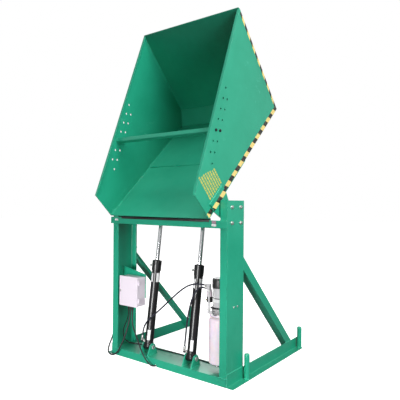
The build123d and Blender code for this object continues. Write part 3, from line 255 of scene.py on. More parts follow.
def build_paint_film():
    """Sprayed paint: slow drifts in depth and shine over a fine orange peel."""
    board, entry, leave = start_group("Paint Film", [
        ("Colour", "Color", (0.5, 0.5, 0.5)), ("Thick Colour", "Color", (0.4, 0.4, 0.4)),
        ("Drift Scale", "Float", 2.6), ("Peel Scale", "Float", 320.0),
        ("Roughness", "Float", 0.3), ("Roughness Spread", "Float", 0.08),
    ], [("Colour", "Color"), ("Roughness", "Float"), ("Height", "Float")])
    place = board.place()
    drift = board.noise(place, entry["Drift Scale"], 4.0)
    mist = board.noise(place, 12.0, 2.0)
    depth = board.sum("ADD", board.span(drift, 0.3, 0.7, 0.0, 0.8), board.span(mist, 0.3, 0.7, 0.0, 0.2))
    board.feed(leave["Colour"], board.blend(depth, entry["Colour"], entry["Thick Colour"]))
    spread = board.sum("MULTIPLY", board.sum("SUBTRACT", mist, 0.5), entry["Roughness Spread"])
    board.feed(leave["Roughness"], board.sum("ADD", spread, entry["Roughness"]))
    peel = board.noise(place, entry["Peel Scale"], 2.0)
    sag = board.sum("MULTIPLY", board.noise(place, 9.0, 1.0), 1.5)
    board.feed(leave["Height"], board.sum("ADD", peel, sag))
    return board.tree


def build_edge_wear():
    """A mask along sharp edges, broken up, and a normal that rounds them."""
    board, entry, leave = start_group("Edge Wear", [
        ("Width", "Float", 0.0025), ("Breakup Scale", "Float", 30.0), ("Amount", "Float", 1.0),
    ], [("Mask", "Float"), ("Normal", "Vector")])
    rounded = board.node("ShaderNodeBevel", {"Radius": entry["Width"]}, samples=4).outputs["Normal"]
    plain = board.node("ShaderNodeNewGeometry").outputs["Normal"]
    dot = board.node("ShaderNodeVectorMath", {0: rounded, 1: plain}, operation="DOT_PRODUCT")
    turn = board.span(dot.outputs["Value"], 0.995, 0.85)
    place = board.place()
    patches = board.span(board.noise(place, entry["Breakup Scale"], 5.0, 0.65), 0.40, 0.62)
    board.feed(leave["Mask"], board.product(turn, patches, entry["Amount"]))
    board.feed(leave["Normal"], rounded)
    return board.tree


def build_scuffs():
    """Thin rubbed streaks that run one way, gathered in patches."""
    board, entry, leave = start_group("Scuffs", [
        ("Stretch", "Vector", (4.0, 4.0, 60.0)), ("Amount", "Float", 0.5), ("Patch Scale", "Float", 3.0),
    ], [("Mask", "Float")])
    place = board.place()
    long_place = board.node("ShaderNodeMapping", {"Vector": place, "Scale": entry["Stretch"]})
    streaks = board.span(board.noise(long_place.outputs["Vector"], 2.0, 6.0, 0.7), 0.60, 0.70)
    patches = board.span(board.noise(place, entry["Patch Scale"], 2.0), 0.50, 0.66)
    board.feed(leave["Mask"], board.product(streaks, patches, entry["Amount"]))
    return board.tree


def build_shop_dust():
    """Dust that settles on faces turned up, thicker in blotches."""
    board, entry, leave = start_group("Shop Dust", [
        ("Amount", "Float", 0.3), ("Blotch Scale", "Float", 9.0),
    ], [("Mask", "Float")])
    place = board.place()
    up = board.node("ShaderNodeSeparateXYZ", {0: board.node("ShaderNodeNewGeometry").outputs["Normal"]})
    flat = board.span(up.outputs["Z"], 0.35, 0.95)
    blotch = board.span(board.noise(place, entry["Blotch Scale"], 6.0, 0.6), 0.35, 0.75, 0.3, 1.0)
    board.feed(leave["Mask"], board.product(flat, blotch, entry["Amount"]))
    return board.tree


def build_metal_grain():
    """Machining marks and dull spots on bare or plated metal."""
    board, entry, leave = start_group("Metal Grain", [
        ("Colour", "Color", (0.7, 0.7, 0.7)), ("Dull Colour", "Color", (0.5, 0.5, 0.5)),
        ("Stretch", "Vector", (1.0, 1.0, 1.0)), ("Grain Scale", "Float", 300.0),
        ("Roughness", "Float", 0.3), ("Roughness Spread", "Float", 0.15),
    ], [("Colour", "Color"), ("Roughness", "Float"), ("Height", "Float")])
    place = board.place()
    long_place = board.node("ShaderNodeMapping", {"Vector": place, "Scale": entry["Stretch"]})
    grain = board.noise(long_place.outputs["Vector"], entry["Grain Scale"], 3.0)
    spots = board.noise(place, 45.0, 4.0)
    board.feed(leave["Colour"], board.blend(board.span(spots, 0.4, 0.7), entry["Colour"],
                                            entry["Dull Colour"]))
    spread = board.sum("MULTIPLY", board.span(spots, 0.3, 0.7), entry["Roughness Spread"])
    board.feed(leave["Roughness"], board.sum("ADD", spread, entry["Roughness"]))
    board.feed(leave["Height"], grain)
    return board.tree


def build_moulded_skin():
    """Moulded plastic or rubber: a fine spark texture with faint handling marks."""
    board, entry, leave = start_group("Moulded Skin", [
        ("Colour", "Color", (0.1, 0.1, 0.1)), ("Worn Colour", "Color", (0.15, 0.15, 0.15)),
        ("Texture Scale", "Float", 900.0), ("Roughness", "Float", 0.5),
        ("Roughness Spread", "Float", 0.1),
    ], [("Colour", "Color"), ("Roughness", "Float"), ("Height", "Float")])
    place = board.place()
    marks = board.noise(place, 30.0, 5.0, 0.6)
    board.feed(leave["Colour"], board.blend(board.span(marks, 0.35, 0.7), entry["Colour"],
                                            entry["Worn Colour"]))
    spread = board.sum("MULTIPLY", board.span(marks, 0.35, 0.7), entry["Roughness Spread"])
    board.feed(leave["Roughness"], board.sum("ADD", spread, entry["Roughness"]))
    board.feed(leave["Height"], board.noise(place, entry["Texture Scale"], 2.0))
    return board.tree


def build_slanted_bands():
    """Two colours in slanted bands along Y, for edge tape."""
    board, entry, leave = start_group("Slanted Bands", [
        ("Turn", "Vector", (0.0, 0.0, 0.0)), ("Light", "Color", (0.8, 0.6, 0.1)),
        ("Dark", "Color", (0.02, 0.02, 0.02)), ("Band", "Float", 0.1), ("Slant", "Float", 0.8),
    ], [("Colour", "Color")])
    place = board.place()
    along = board.node("ShaderNodeMapping", {"Vector": place, "Rotation": entry["Turn"]})
    split = board.node("ShaderNodeSeparateXYZ", {0: along.outputs["Vector"]})
    slanted = board.sum("ADD", split.outputs["Y"], board.sum("MULTIPLY", split.outputs["Z"],
                                                             entry["Slant"]))
    step = board.sum("FRACT", board.sum("DIVIDE", slanted, entry["Band"]))
    dark = board.sum("GREATER_THAN", step, 0.5)
    smudge = board.span(board.noise(place, 60.0, 4.0), 0.55, 0.8, 0.0, 0.35)
    banded = board.blend(dark, entry["Light"], entry["Dark"])
    board.feed(leave["Colour"], board.blend(smudge, banded, entry["Light"]))
    return board.tree


GROUPS = {}
FINISHES = {}


def start_finish(name, **plain):
    """A new material with its shader; plain values go straight on the shader's own sockets."""
    made = bpy.data.materials.new(name)
    made.use_nodes = True
    board = Board(made.node_tree)
    shader = made.node_tree.nodes["Principled BSDF"]
    for label, value in plain.items():
        board.feed(shader.inputs[label.replace("_", " ")], value)
    FINISHES[name] = made
    return board, shader


def use_group(board, name, **values):
    made = board.node("ShaderNodeGroup", node_tree=GROUPS[name])
    for label, value in values.items():
        board.feed(made.inputs[label.replace("_", " ")], value)
    return made.outputs


def bump(board, shader, height, strength, distance, normal=None):
    links = {"Height": height, "Strength": strength, "Distance": distance}
    if normal is not None:
        links["Normal"] = normal
    board.feed(shader.inputs["Normal"], board.node("ShaderNodeBump", links).outputs["Normal"])


def painted(name, colour, thick, edge, roughness=0.30, wear=0.8, scuff=0.4, dust=0.12,
            stretch=(5.0, 5.0, 50.0), edge_width=0.0022, peel=0.02, coat=0.12):
    """Paint over steel, with pale edges, rubbed streaks and settled dust."""
    board, shader = start_finish(name, Coat_Weight=coat, Coat_Roughness=0.15, IOR=1.48)
    film = use_group(board, "Paint Film", Colour=colour, Thick_Colour=thick, Roughness=roughness)
    edges = use_group(board, "Edge Wear", Width=edge_width, Amount=wear)
    rubbed = use_group(board, "Scuffs", Stretch=stretch, Amount=scuff)
    dusty = use_group(board, "Shop Dust", Amount=dust)
    shade = board.blend(edges["Mask"], film["Colour"], edge)
    shade = board.blend(rubbed["Mask"], shade, [min(1, c * 1.35 + 0.05) for c in edge])
    shade = board.blend(dusty["Mask"], shade, (0.42, 0.55, 0.46))
    board.feed(shader.inputs["Base Color"], shade)
    dull = board.sum("ADD", board.sum("MULTIPLY", dusty["Mask"], 0.5), film["Roughness"])
    board.feed(shader.inputs["Roughness"], dull)
    bump(board, shader, film["Height"], peel, 0.001, edges["Normal"])


def bare_metal(name, colour, dull, roughness, spread=0.15, stretch=(1, 1, 1), grain=300.0,
               strength=0.08, edge_width=0.0008, **plain):
    board, shader = start_finish(name, Metallic=1.0, **plain)
    grains = use_group(board, "Metal Grain", Colour=colour, Dull_Colour=dull, Stretch=stretch,
                       Grain_Scale=grain, Roughness=roughness, Roughness_Spread=spread)
    edges = use_group(board, "Edge Wear", Width=edge_width, Amount=0.6)
    board.feed(shader.inputs["Base Color"], board.blend(edges["Mask"], grains["Colour"], colour))
    board.feed(shader.inputs["Roughness"], grains["Roughness"])
    bump(board, shader, grains["Height"], strength, 0.0006, edges["Normal"])


def plated_rod(name):
    """Chrome up to the rod's end, where the eye is painted black."""
    board, shader = start_finish(name)
    place = board.place()
    upright = board.node("ShaderNodeMapping", {
        "Vector": place, "Location": (0, -BASE_PIN[0], -BASE_PIN[1])})
    leaned = board.node("ShaderNodeMapping", {
        "Vector": upright.outputs["Vector"], "Rotation": (LEAN, 0, 0)})
    along = board.node("ShaderNodeSeparateXYZ", {0: leaned.outputs["Vector"]}).outputs["Z"]
    eye = board.span(along, 1.300, 1.302)
    grains = use_group(board, "Metal Grain", Colour=(0.80, 0.81, 0.83), Dull_Colour=(0.70, 0.71, 0.74),
                       Stretch=(1.0, 1.0, 0.04), Grain_Scale=700.0, Roughness=0.06, Roughness_Spread=0.08)
    board.feed(shader.inputs["Base Color"], board.blend(eye, grains["Colour"],
                                                        tuple(finishes().ram_black)))
    board.feed(shader.inputs["Metallic"], board.sum("SUBTRACT", 1.0, eye))
    board.feed(shader.inputs["Roughness"],
               board.sum("ADD", board.sum("MULTIPLY", eye, 0.25), grains["Roughness"]))
    bump(board, shader, grains["Height"], 0.03, 0.0006)


def moulded(name, colour, worn, roughness, spread=0.1, texture=900.0, strength=0.12, **plain):
    board, shader = start_finish(name, **plain)
    skin = use_group(board, "Moulded Skin", Colour=colour, Worn_Colour=worn, Texture_Scale=texture,
                     Roughness=roughness, Roughness_Spread=spread)
    edges = use_group(board, "Edge Wear", Width=0.0008, Amount=0.5)
    pale = [c * 0.7 + 0.12 for c in worn]
    board.feed(shader.inputs["Base Color"], board.blend(edges["Mask"], skin["Colour"], pale))
    board.feed(shader.inputs["Roughness"], skin["Roughness"])
    bump(board, shader, skin["Height"], strength, 0.0004, edges["Normal"])


def edge_tape(name, turn, slant):
    look = finishes()
    board, shader = start_finish(name, Roughness=0.42, Coat_Weight=0.1)
    bands = use_group(board, "Slanted Bands", Turn=turn, Slant=slant, Light=tuple(look.tape_yellow),
                      Dark=tuple(look.tape_black), Band=sizes().tape_band)
    edges = use_group(board, "Edge Wear", Width=0.0015, Amount=0.4)
    board.feed(shader.inputs["Base Color"], board.blend(edges["Mask"], bands["Colour"], (0.6, 0.55, 0.4)))
    place = board.place()
    bump(board, shader, board.noise(place, 120.0, 2.0), 0.10, 0.001)


# ---------------------------------------------------------------- modelling helpers
def drop_all():
    if bpy.context.mode != "OBJECT":
        bpy.ops.object.mode_set(mode="OBJECT")
    bpy.ops.object.select_all(action="DESELECT")


def take(*chosen):
    drop_all()
    for piece in chosen:
        piece.select_set(True)
    bpy.context.view_layer.objects.active = chosen[0]


def settle_transform(piece):
    """Puts the piece's place, turn and size into its mesh."""
    take(piece)
    bpy.ops.object.transform_apply(location=True, rotation=True, scale=True)
    return piece


def pick(piece, kind, test):
    """In edit mode, selects only the faces or edges whose middle and direction pass the test."""
    mesh = bmesh.from_edit_mesh(piece.data)
    for part in (*mesh.faces, *mesh.edges, *mesh.verts):
        part.select = False
    if kind == "FACE":
        chosen = [f for f in mesh.faces if test(f.calc_center_median(), f.normal)]
    else:
        chosen = [e for e in mesh.edges if test((e.verts[0].co + e.verts[1].co) / 2,
                                                (e.verts[1].co - e.verts[0].co).normalized())]
    bpy.ops.mesh.select_mode(type=kind)
    for part in chosen:
        part.select_set(True)
    bmesh.update_edit_mesh(piece.data)


def edit(piece):
    take(piece)
    bpy.ops.object.mode_set(mode="EDIT")


def turned(steps, count=40):
    """A closed turned piece on Z from (height, radius) steps, lowest first."""
    drop_all()
    bpy.ops.mesh.primitive_circle_add(vertices=count, radius=steps[0][1], fill_type="NGON")
    piece = settle_transform(bpy.context.object)
    piece.data.transform(shift((0, 0, steps[0][0])))
    edit(piece)
    bpy.ops.mesh.select_all(action="SELECT")
    for (low, wide), (high, narrow) in zip(steps, steps[1:]):
        bpy.ops.mesh.extrude_region_move(TRANSFORM_OT_translate={"value": (0, 0, high - low)})
        ratio = narrow / wide
        bpy.ops.transform.resize(value=(ratio, ratio, 1), center_override=(0, 0, high))
    bpy.ops.mesh.select_all(action="SELECT")
    bpy.ops.mesh.remove_doubles(threshold=0.00001)
    bpy.ops.mesh.normals_make_consistent(inside=False)
    drop_all()
    return piece


def cut_back(piece, test):
    """Deletes the faces that pass the test."""
    edit(piece)
    pick(piece, "FACE", test)
    bpy.ops.mesh.delete(type="FACE")
    drop_all()


def raised(piece, test, rim, depth=0.0, push=None, **settings):
    """Insets the faces that pass the test and, if asked, draws the inner ones out."""
    edit(piece)
    pick(piece, "FACE", test)
    bpy.ops.mesh.inset(thickness=rim, depth=depth, **settings)
    if push:
        bpy.ops.mesh.extrude_region_move(TRANSFORM_OT_translate={"value": push})
    drop_all()


def applied(piece, kind, **settings):
    """Adds a modifier with its settings and applies it."""
    step = piece.modifiers.new(kind, kind)
    for name, value in settings.items():
        setattr(step, name, value)
    take(piece)
    bpy.ops.object.modifier_apply(modifier=step.name)
    return piece


def tube(name, points, diameter, resolution):
    """A curve of a given thickness through its points."""
    data = bpy.data.curves.new(name, "CURVE")
    data.dimensions = "3D"
    data.bevel_depth = diameter / 2
    data.bevel_resolution = resolution
    spline = data.splines.new("NURBS")
    spline.points.add(len(points) - 1)
    for point, place in zip(spline.points, points):
        point.co = (*place, 1)
    spline.order_u = 3
    spline.use_endpoint_u = True
    piece = bpy.data.objects.new(name, data)
    bpy.context.collection.objects.link(piece)
    return piece


def slab(low, high, soft=0.0, segments=2):
    """A box between two corners with all its edges softened."""
    low, high = Vector(low), Vector(high)
    drop_all()
    bpy.ops.mesh.primitive_cube_add(size=1, location=(low + high) / 2, scale=high - low)
    piece = settle_transform(bpy.context.object)
    if soft:
        edit(piece)
        bpy.ops.mesh.select_all(action="SELECT")
        bpy.ops.mesh.bevel(offset=soft, segments=segments, affect="EDGES")
        drop_all()
    return piece


def prism(count, radius, low, high, soft=0.0):
    """An upright prism, such as a hexagon nut, with its top and bottom rims softened."""
    drop_all()
    bpy.ops.mesh.primitive_cylinder_add(
        vertices=count, radius=radius, depth=high - low, location=(0, 0, (low + high) / 2))
    piece = settle_transform(bpy.context.object)
    if soft:
        edit(piece)
        pick(piece, "EDGE", lambda middle, way: abs(way.z) < 0.1)
        bpy.ops.mesh.bevel(offset=soft, segments=2, affect="EDGES")
        drop_all()
    return piece


def ring(radius, thickness, place=(0, 0, 0), count=40, around=10):
    drop_all()
    bpy.ops.mesh.primitive_torus_add(
        major_radius=radius, minor_radius=thickness, major_segments=count, minor_segments=around,
        location=place)
    return settle_transform(bpy.context.object)


def placed(piece, matrix):
    piece.data.transform(matrix)
    return piece


def copied(piece, matrix):
    """A copy with its own mesh, moved by the matrix."""
    twin = piece.copy()
    twin.data = piece.data.copy()
    bpy.context.collection.objects.link(twin)
    twin.data.transform(matrix)
    if matrix.determinant() < 0:
        edit(twin)
        bpy.ops.mesh.select_all(action="SELECT")
        bpy.ops.mesh.flip_normals()
        drop_all()
    return twin


def joined(parts):
    take(*parts)
    if len(parts) > 1:
        bpy.ops.object.join()
    return bpy.context.view_layer.objects.active


def toward(axis, place=(0, 0, 0), roll=0.0):
    """The matrix that turns Z to an axis and moves the piece to a place."""
    turn = Vector(axis).to_track_quat("Z", "Y").to_matrix().to_4x4()
    return shift(place) @ turn @ Matrix.Rotation(roll, 4, "Z")


def finish_piece(piece, name, body, finish, smooth=35, replaces=()):
    """Names the piece, gives it its finish and makes it ride on its body."""
    piece.name = name
    piece.data.name = name
    piece.data.materials.clear()
    piece.data.materials.append(FINISHES[finish])
    if smooth and piece.type == "MESH":
        take(piece)
        bpy.ops.object.shade_smooth_by_angle(angle=math.radians(smooth))
    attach(piece, body)
    if replaces:
        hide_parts(*replaces)
    drop_all()
    return piece


MIRROR = Matrix.Scale(-1, 4, (1, 0, 0))


# ---------------------------------------------------------------- cords
def coil_points():
    """The spare supply cord: turns beside and on each other, then straight on to the plug."""
    points = []
    steps = 16
    for turn in range(3):
        for index in range(steps):
            part = index / steps
            angle = math.pi - 2 * math.pi * part
            late = min(1, max(0, (part - 0.72) / 0.28))
            radius, height = COIL_OUTER, COIL_LOW
            if turn == 0:
                radius = COIL_OUTER - (COIL_OUTER - COIL_INNER) * late
            elif turn == 1:
                climb = min(1, max(0, (part - 0.60) / 0.28))
                radius = COIL_INNER
                height = COIL_LOW + (COIL_HIGH - COIL_LOW) * math.sin(climb * math.pi / 2)
            else:
                radius = COIL_INNER + (COIL_OUTER - COIL_INNER) * late
                height = COIL_HIGH
            points.append((COIL_CENTRE[0] + radius * math.cos(angle),
                           COIL_CENTRE[1] + radius * math.sin(angle), height))
    for index in range(4):
        angle = math.pi - 2 * math.pi * index / steps
        points.append((COIL_CENTRE[0] + COIL_OUTER * math.cos(angle),
                       COIL_CENTRE[1] + COIL_OUTER * math.sin(angle), COIL_HIGH))
    top = COIL_CENTRE[1] + COIL_OUTER
    points += [(-0.024, top, COIL_HIGH), (0.002, top, COIL_HIGH), (0.026, top, 0.0169),
               (0.052, top, 0.017)]
    return points


def cord_curve(name, points, diameter, finish, replaces):
    piece = tube(name, points, diameter, 5)
    piece.data.resolution_u = 10
    piece.data.use_fill_caps = True
    piece.data.materials.append(FINISHES[finish])
    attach(piece, "frame")
    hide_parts(*replaces)
    return piece


class DUMPER_OT_cords(bpy.types.Operator):
    """Lays the supply cord, hand control cord, motor cable and both hoses"""
    bl_idname = "dumper.cords"
    bl_label = "Cords and Hoses"

    def execute(self, context):
        pendant = cord_curve("hand_control_cord", PENDANT_ROUTE, 0.013, "cord rubber", ["pendant_cord"])
        motor = cord_curve("motor_lead", MOTOR_ROUTE, 0.009, "cord rubber", ["motor_cable"])
        for side, route, length in (("left", HOSE_LEFT_ROUTE, 0.863), ("right", HOSE_RIGHT_ROUTE, 0.557)):
            hose = cord_curve(f"oil_hose_{side}", route, 0.013, "hose rubber", [f"hose_{side}"])
        supply = cord_curve("mains_cord", SUPPLY_ROUTE + coil_points(), 0.011, "cord rubber",
                            ["supply_cord", "supply_coil"])
        plug = self.plug()
        tie = self.tie()
        return {"FINISHED"}

    def plug(self):
        y = COIL_CENTRE[1] + COIL_OUTER
        body = turned([(0.022, 0.0150), (0.024, 0.0168), (0.034, 0.0168), (0.036, 0.0155),
                       (0.038, 0.0168),
                       (0.042, 0.0168), (0.044, 0.0155), (0.046, 0.0168), (0.066, 0.0168),
                       (0.070, 0.0150)])
        sleeve = turned([(0.0, 0.0066), (0.004, 0.0072), (0.006, 0.0068), (0.009, 0.0078),
                         (0.011, 0.0073),
                         (0.015, 0.0084), (0.017, 0.0079), (0.022, 0.0092)], 24)
        shell = placed(joined([body, sleeve]), toward((1, 0, 0), (0.046, y, 0.017)))
        finish_piece(shell, "mains_plug", "frame", "black moulding", replaces=["supply_plug"])
        blades = [slab((0.1155, y + dy - 0.0008, 0.014), (0.135, y + dy + 0.0008, 0.020), 0.0003)
                  for dy in (-0.0065, 0.0065)]
        pin = placed(turned([(0, 0.0024), (0.018, 0.0024), (0.021, 0.0012)], 16),
                     toward((1, 0, 0), (0.1155, y, 0.008)))
        pins = finish_piece(joined([*blades, pin]), "mains_plug_pins", "frame", "brass")
        pins.parent = shell
        return shell

    def tie(self):
        made = []
        for index, angle in enumerate((-50, 60)):
            a = math.radians(angle)
            reach = (COIL_INNER + COIL_OUTER) / 2
            band = slab((-0.0145, -0.004, -0.0006), (0.0145, 0.004, 0.0238), 0.0018, 3)
            cut_back(band, lambda middle, way: abs(way.y) > 0.9)
            applied(band, "SOLIDIFY", thickness=0.0009, offset=1)
            x, y = COIL_CENTRE[0] + reach * math.cos(a), COIL_CENTRE[1] + reach * math.sin(a)
            placed(band, shift((x, y, 0.0017)) @ Matrix.Rotation(a, 4, "Z"))
            made.append(finish_piece(band, f"coil_tie_{index}", "frame", "black moulding"))
        return made


# ---------------------------------------------------------------- finishes
class DUMPER_OT_finishes(bpy.types.Operator):
    """Builds the shared shader groups and every finish"""
    bl_idname = "dumper.finishes"
    bl_label = "Finishes"

    def execute(self, context):
        for build in (build_paint_film, build_edge_wear, build_scuffs, build_shop_dust,
                      build_metal_grain, build_moulded_skin, build_slanted_bands):
            tree = build()
            GROUPS[tree.name] = tree
        look = finishes()
        green, deep, edge = tuple(look.enamel), tuple(look.enamel_deep), tuple(look.enamel_edge)
        painted("green enamel", green, deep, edge, dust=0.10, scuff=0.25,
                stretch=(30.0, 30.0, 2.0))
        painted("chute enamel", green, deep, edge, roughness=0.34, scuff=0.25, dust=0.05,
                stretch=(30.0, 3.0, 5.0))
        painted("foot enamel", green, deep, edge, roughness=0.34, scuff=0.5, dust=0.05, wear=1.0,
                stretch=(4.0, 30.0, 30.0), edge_width=0.003)
        # Weld beads get a lighter green than the enamel they are coated with: a painted highlight for
        # light catching the ripples
        painted("bead enamel with painted highlight", [c * 1.15 for c in green], green, edge, roughness=0.24, scuff=0.1,
                dust=0.1,
                edge_width=0.001)
        coat = tuple(look.box_coat)
        painted("box coat", coat, [c * 0.93 for c in coat], (0.9, 0.9, 0.9), roughness=0.42, wear=0.5,
                scuff=0.15, dust=0.05, peel=0.09)
        black = tuple(look.ram_black)
        painted("ram black", black, [c * 0.7 for c in black], (0.09, 0.09, 0.095), roughness=0.30,
                scuff=0.10, dust=0.02, wear=0.6, coat=0.03)
        painted("silver enamel", (0.60, 0.59, 0.61), (0.52, 0.51, 0.53), (0.8, 0.8, 0.8), roughness=0.34,
                scuff=0.15, dust=0.05)
        painted("bearing iron", (0.035, 0.30, 0.19), (0.02, 0.22, 0.14), (0.3, 0.4, 0.35), roughness=0.4)
        bare_metal("zinc plate", (0.74, 0.74, 0.73), (0.52, 0.52, 0.50), 0.26, grain=500.0)
        plated_rod("chrome")
        bare_metal("cast aluminium", (0.66, 0.65, 0.66), (0.50, 0.49, 0.50), 0.38, grain=420.0,
                   strength=0.5)
        bare_metal("core steel", (0.42, 0.41, 0.40), (0.25, 0.24, 0.24), 0.45, 0.2, (1, 400, 1), 4.0, 0.7)
        bare_metal("copper wire", (0.80, 0.36, 0.18), (0.55, 0.22, 0.11), 0.28, 0.1, (1, 1, 8), 260.0,
                   0.5)
        bare_metal("black oxide", (0.05, 0.055, 0.06), (0.03, 0.032, 0.035), 0.42)
        bare_metal("brass", (0.80, 0.60, 0.26), (0.62, 0.44, 0.17), 0.24)
        tank = tuple(look.tank)
        moulded("tank plastic", tank, [c * 0.93 for c in tank], 0.34, 0.08, 160.0, 0.10,
                Subsurface_Weight=0.18, Subsurface_Scale=0.01)
        rubber = tuple(look.rubber)
        moulded("cord rubber", rubber, [c * 1.8 for c in rubber], 0.46, 0.14, 500.0, 0.15)
        moulded("hose rubber", (0.014, 0.014, 0.022), (0.034, 0.034, 0.055), 0.30, 0.10, 700.0, 0.08)
        moulded("black moulding", (0.016, 0.016, 0.017), (0.032, 0.032, 0.033), 0.36, 0.12)
        moulded("cream moulding", (0.66, 0.63, 0.54), (0.58, 0.55, 0.46), 0.45)
        moulded("yellow moulding", (0.78, 0.52, 0.03), (0.66, 0.43, 0.03), 0.38)
        moulded("green moulding", (0.02, 0.34, 0.07), (0.03, 0.26, 0.06), 0.34)
        moulded("red moulding", (0.52, 0.02, 0.02), (0.42, 0.03, 0.03), 0.34)
        moulded("grey moulding", (0.22, 0.23, 0.24), (0.28, 0.29, 0.30), 0.45)
        moulded("blue wire", (0.03, 0.08, 0.40), (0.05, 0.10, 0.36), 0.4)
        moulded("white sticker", (0.86, 0.86, 0.87), (0.74, 0.74, 0.75), 0.40, 0.1, 90.0, 0.05)
        moulded("rose shell", (0.80, 0.68, 0.75), (0.72, 0.62, 0.68), 0.38, 0.1, 90.0, 0.05)
        moulded("rose sticker", (0.42, 0.26, 0.33), (0.34, 0.22, 0.28), 0.45, 0.1, 90.0, 0.05)
        moulded("yellow marking", (0.62, 0.58, 0.10), (0.50, 0.52, 0.12), 0.45, 0.1, 90.0, 0.05)
        edge_tape("platform tape", (math.radians(-133), 0, 0), 1.0)
        edge_tape("back tape", (math.radians(-43), 0, 0), 0.62)
        return {"FINISHED"}


NODE_FINISHES = {
    "green enamel": "column_left column_right braces guide_posts front_beam base_lugs control_plate",
    "foot enamel": "base_channel leg_left leg_right",
    "chute enamel": "side_plate_left side_plate_right platform corner_plate back_plate lip_plate"
                    " edge_rims underside_ribs pivot_ears rod_lugs retainer_bar",
    "silver enamel": "pressure_fittings",
    "zinc plate": "base_pins rod_stub_pins pivot_shafts bearing_inserts"
                  " pendant_hook mounting_panel",
    "bearing iron": "bearing_housings",
    "ram black": "barrel_left barrel_right gland_left gland_right power_unit_plate",
    "chrome": "rod_left rod_right",
    "box coat": "box_body box_door",
    "green moulding": "raise_button",
    "red moulding": "lower_button",
}


class DUMPER_OT_paint(bpy.types.Operator):
    """Paints the nodes that keep their own shape"""
    bl_idname = "dumper.paint"
    bl_label = "Paint the Frame and Chute"

    def execute(self, context):
        for finish, names in NODE_FINISHES.items():
            for name in names.split():
                node = NODES[name]
                node.data.materials.clear()
                node.data.materials.append(FINISHES[finish])
        return {"FINISHED"}


# ---------------------------------------------------------------- welds
def bead(start, end, matrix=None):
    """A rippled weld bead between two points."""
    if matrix is not None:
        start, end = matrix @ Vector(start), matrix @ Vector(end)
    start, end = Vector(start), Vector(end)
    way = (end - start).normalized()
    step = sizes().bead_step
    half = sizes().bead
    count = max(2, round((end - start).length / step))
    drop_all()
    bpy.ops.mesh.primitive_uv_sphere_add(segments=8, ring_count=5, radius=1)
    ripple = bpy.context.object
    ripple.data.transform(Matrix.Diagonal((half, half, step * 0.95, 1)))
    ripple.data.transform(toward(way, start))
    return applied(ripple, "ARRAY", count=count, use_relative_offset=False, use_constant_offset=True,
                   constant_offset_displace=way * step)


def ring_bead(centre, axis, radius, count):
    """A weld bead round a foot or boss."""
    half = sizes().bead
    drop_all()
    bpy.ops.mesh.primitive_uv_sphere_add(segments=8, ring_count=5, radius=1)
    ripple = bpy.context.object
    ripple.data.transform(Matrix.Diagonal((half, half * 1.3, half, 1)))
    around = toward(axis, centre)
    parts = [copied(ripple, around @ Matrix.Rotation(2 * math.pi * index / count, 4, "Z")
                    @ shift((radius, 0, 0))) for index in range(count)]
    bpy.data.objects.remove(ripple)
    return joined(parts)


class DUMPER_OT_frame_welds(bpy.types.Operator):
    """Welds the frame's joints"""
    bl_idname = "dumper.frame_welds"
    bl_label = "Frame Welds"

    def execute(self, context):
        rows = []
        for side in (-1, 1):
            out, web = 0.601 * side, 0.594 * side
            rows += [
                bead((out, -0.005, 0.062), (out, 0.223, 0.062)),
                bead((0.540 * side, -0.005, 0.062), (out, -0.005, 0.062)),
                bead((0.540 * side, 0.223, 0.062), (out, 0.223, 0.062)),
                bead((web, 0.013, 0.063), (web, 0.205, 0.063)),
                bead((0.540 * side, 0.006, 0.063), (0.590 * side, 0.006, 0.063)),
                bead((out, 0.002, 0.095), (out, 0.223, 0.095)),
                bead((out, -0.004, 0.010), (out, -0.004, 0.090)),
                bead((out, 0.956, 0.095), (out, 1.052, 0.095)),
                bead((0.533 * side, 0.2235, 0.925), (0.600 * side, 0.2235, 0.925)),
                bead((0.5945 * side, 0.2235, 0.835), (0.5945 * side, 0.2235, 0.920)),
                bead((0.540 * side, -0.005, 1.207), (0.600 * side, -0.005, 1.207)),
                bead((0.540 * side, -0.005, 1.150), (0.600 * side, -0.005, 1.150)),
            ]
            for centre in (-CYLINDER_X, CYLINDER_X):
                for x in (centre + side * 0.038, centre + side * 0.048):
                    rows.append(bead((x, 0.003, 0.063), (x, 0.116, 0.063)))
            for y in (0.223, 1.158):
                rows.append(ring_bead((side * 0.6365, y, 0.0075), (0, 0, 1), 0.0193, 22))
        rows.append(bead((-0.5935, 0.099, 0.475), (-0.5935, 0.099, 0.762)))
        finish_piece(joined(rows), "frame_weld_beads", "frame", "bead enamel with painted highlight")
        return {"FINISHED"}


class DUMPER_OT_chute_welds(bpy.types.Operator):
    """Welds the chute's seams, its ears and its lugs"""
    bl_idname = "dumper.chute_welds"
    bl_label = "Chute Welds"

    def execute(self, context):
        rows = []
        for side in (-1, 1):
            inner = 0.5105 * side
            rows += [
                bead((inner, 0.145, 0.0065), (inner, 0.925, 0.0065), CHUTE),
                bead((inner, 0.0065, 0.120), (inner, 0.0065, 0.762), CHUTE),
                bead((inner, 0.0005, 0.768), (inner, 0.0005, 1.402), CHUTE),
                bead((0.518 * side, 0.0705, 1.130), (0.518 * side, 0.0705, 1.333), CHUTE),
            ]
            for centre in (-CYLINDER_X, CYLINDER_X):
                for x in (0.0215, 0.0325):
                    rows.append(bead((centre + side * x, -0.0065, 0.914),
                                     (centre + side * x, -0.0065, 1.060), CHUTE))
        for x in (-0.44, -0.15, 0.14, 0.43):
            rows.append(bead((x - 0.03, 0.0065, 0.7665), (x + 0.03, 0.0065, 0.7665), CHUTE))
            for v in (0.2495, 0.5085, 0.4995, 0.7085):
                rows.append(bead((x - 0.03, -0.0005, v), (x + 0.03, -0.0005, v), CHUTE))
        finish_piece(joined(rows), "chute_weld_beads", "chute", "bead enamel with painted highlight")
        return {"FINISHED"}


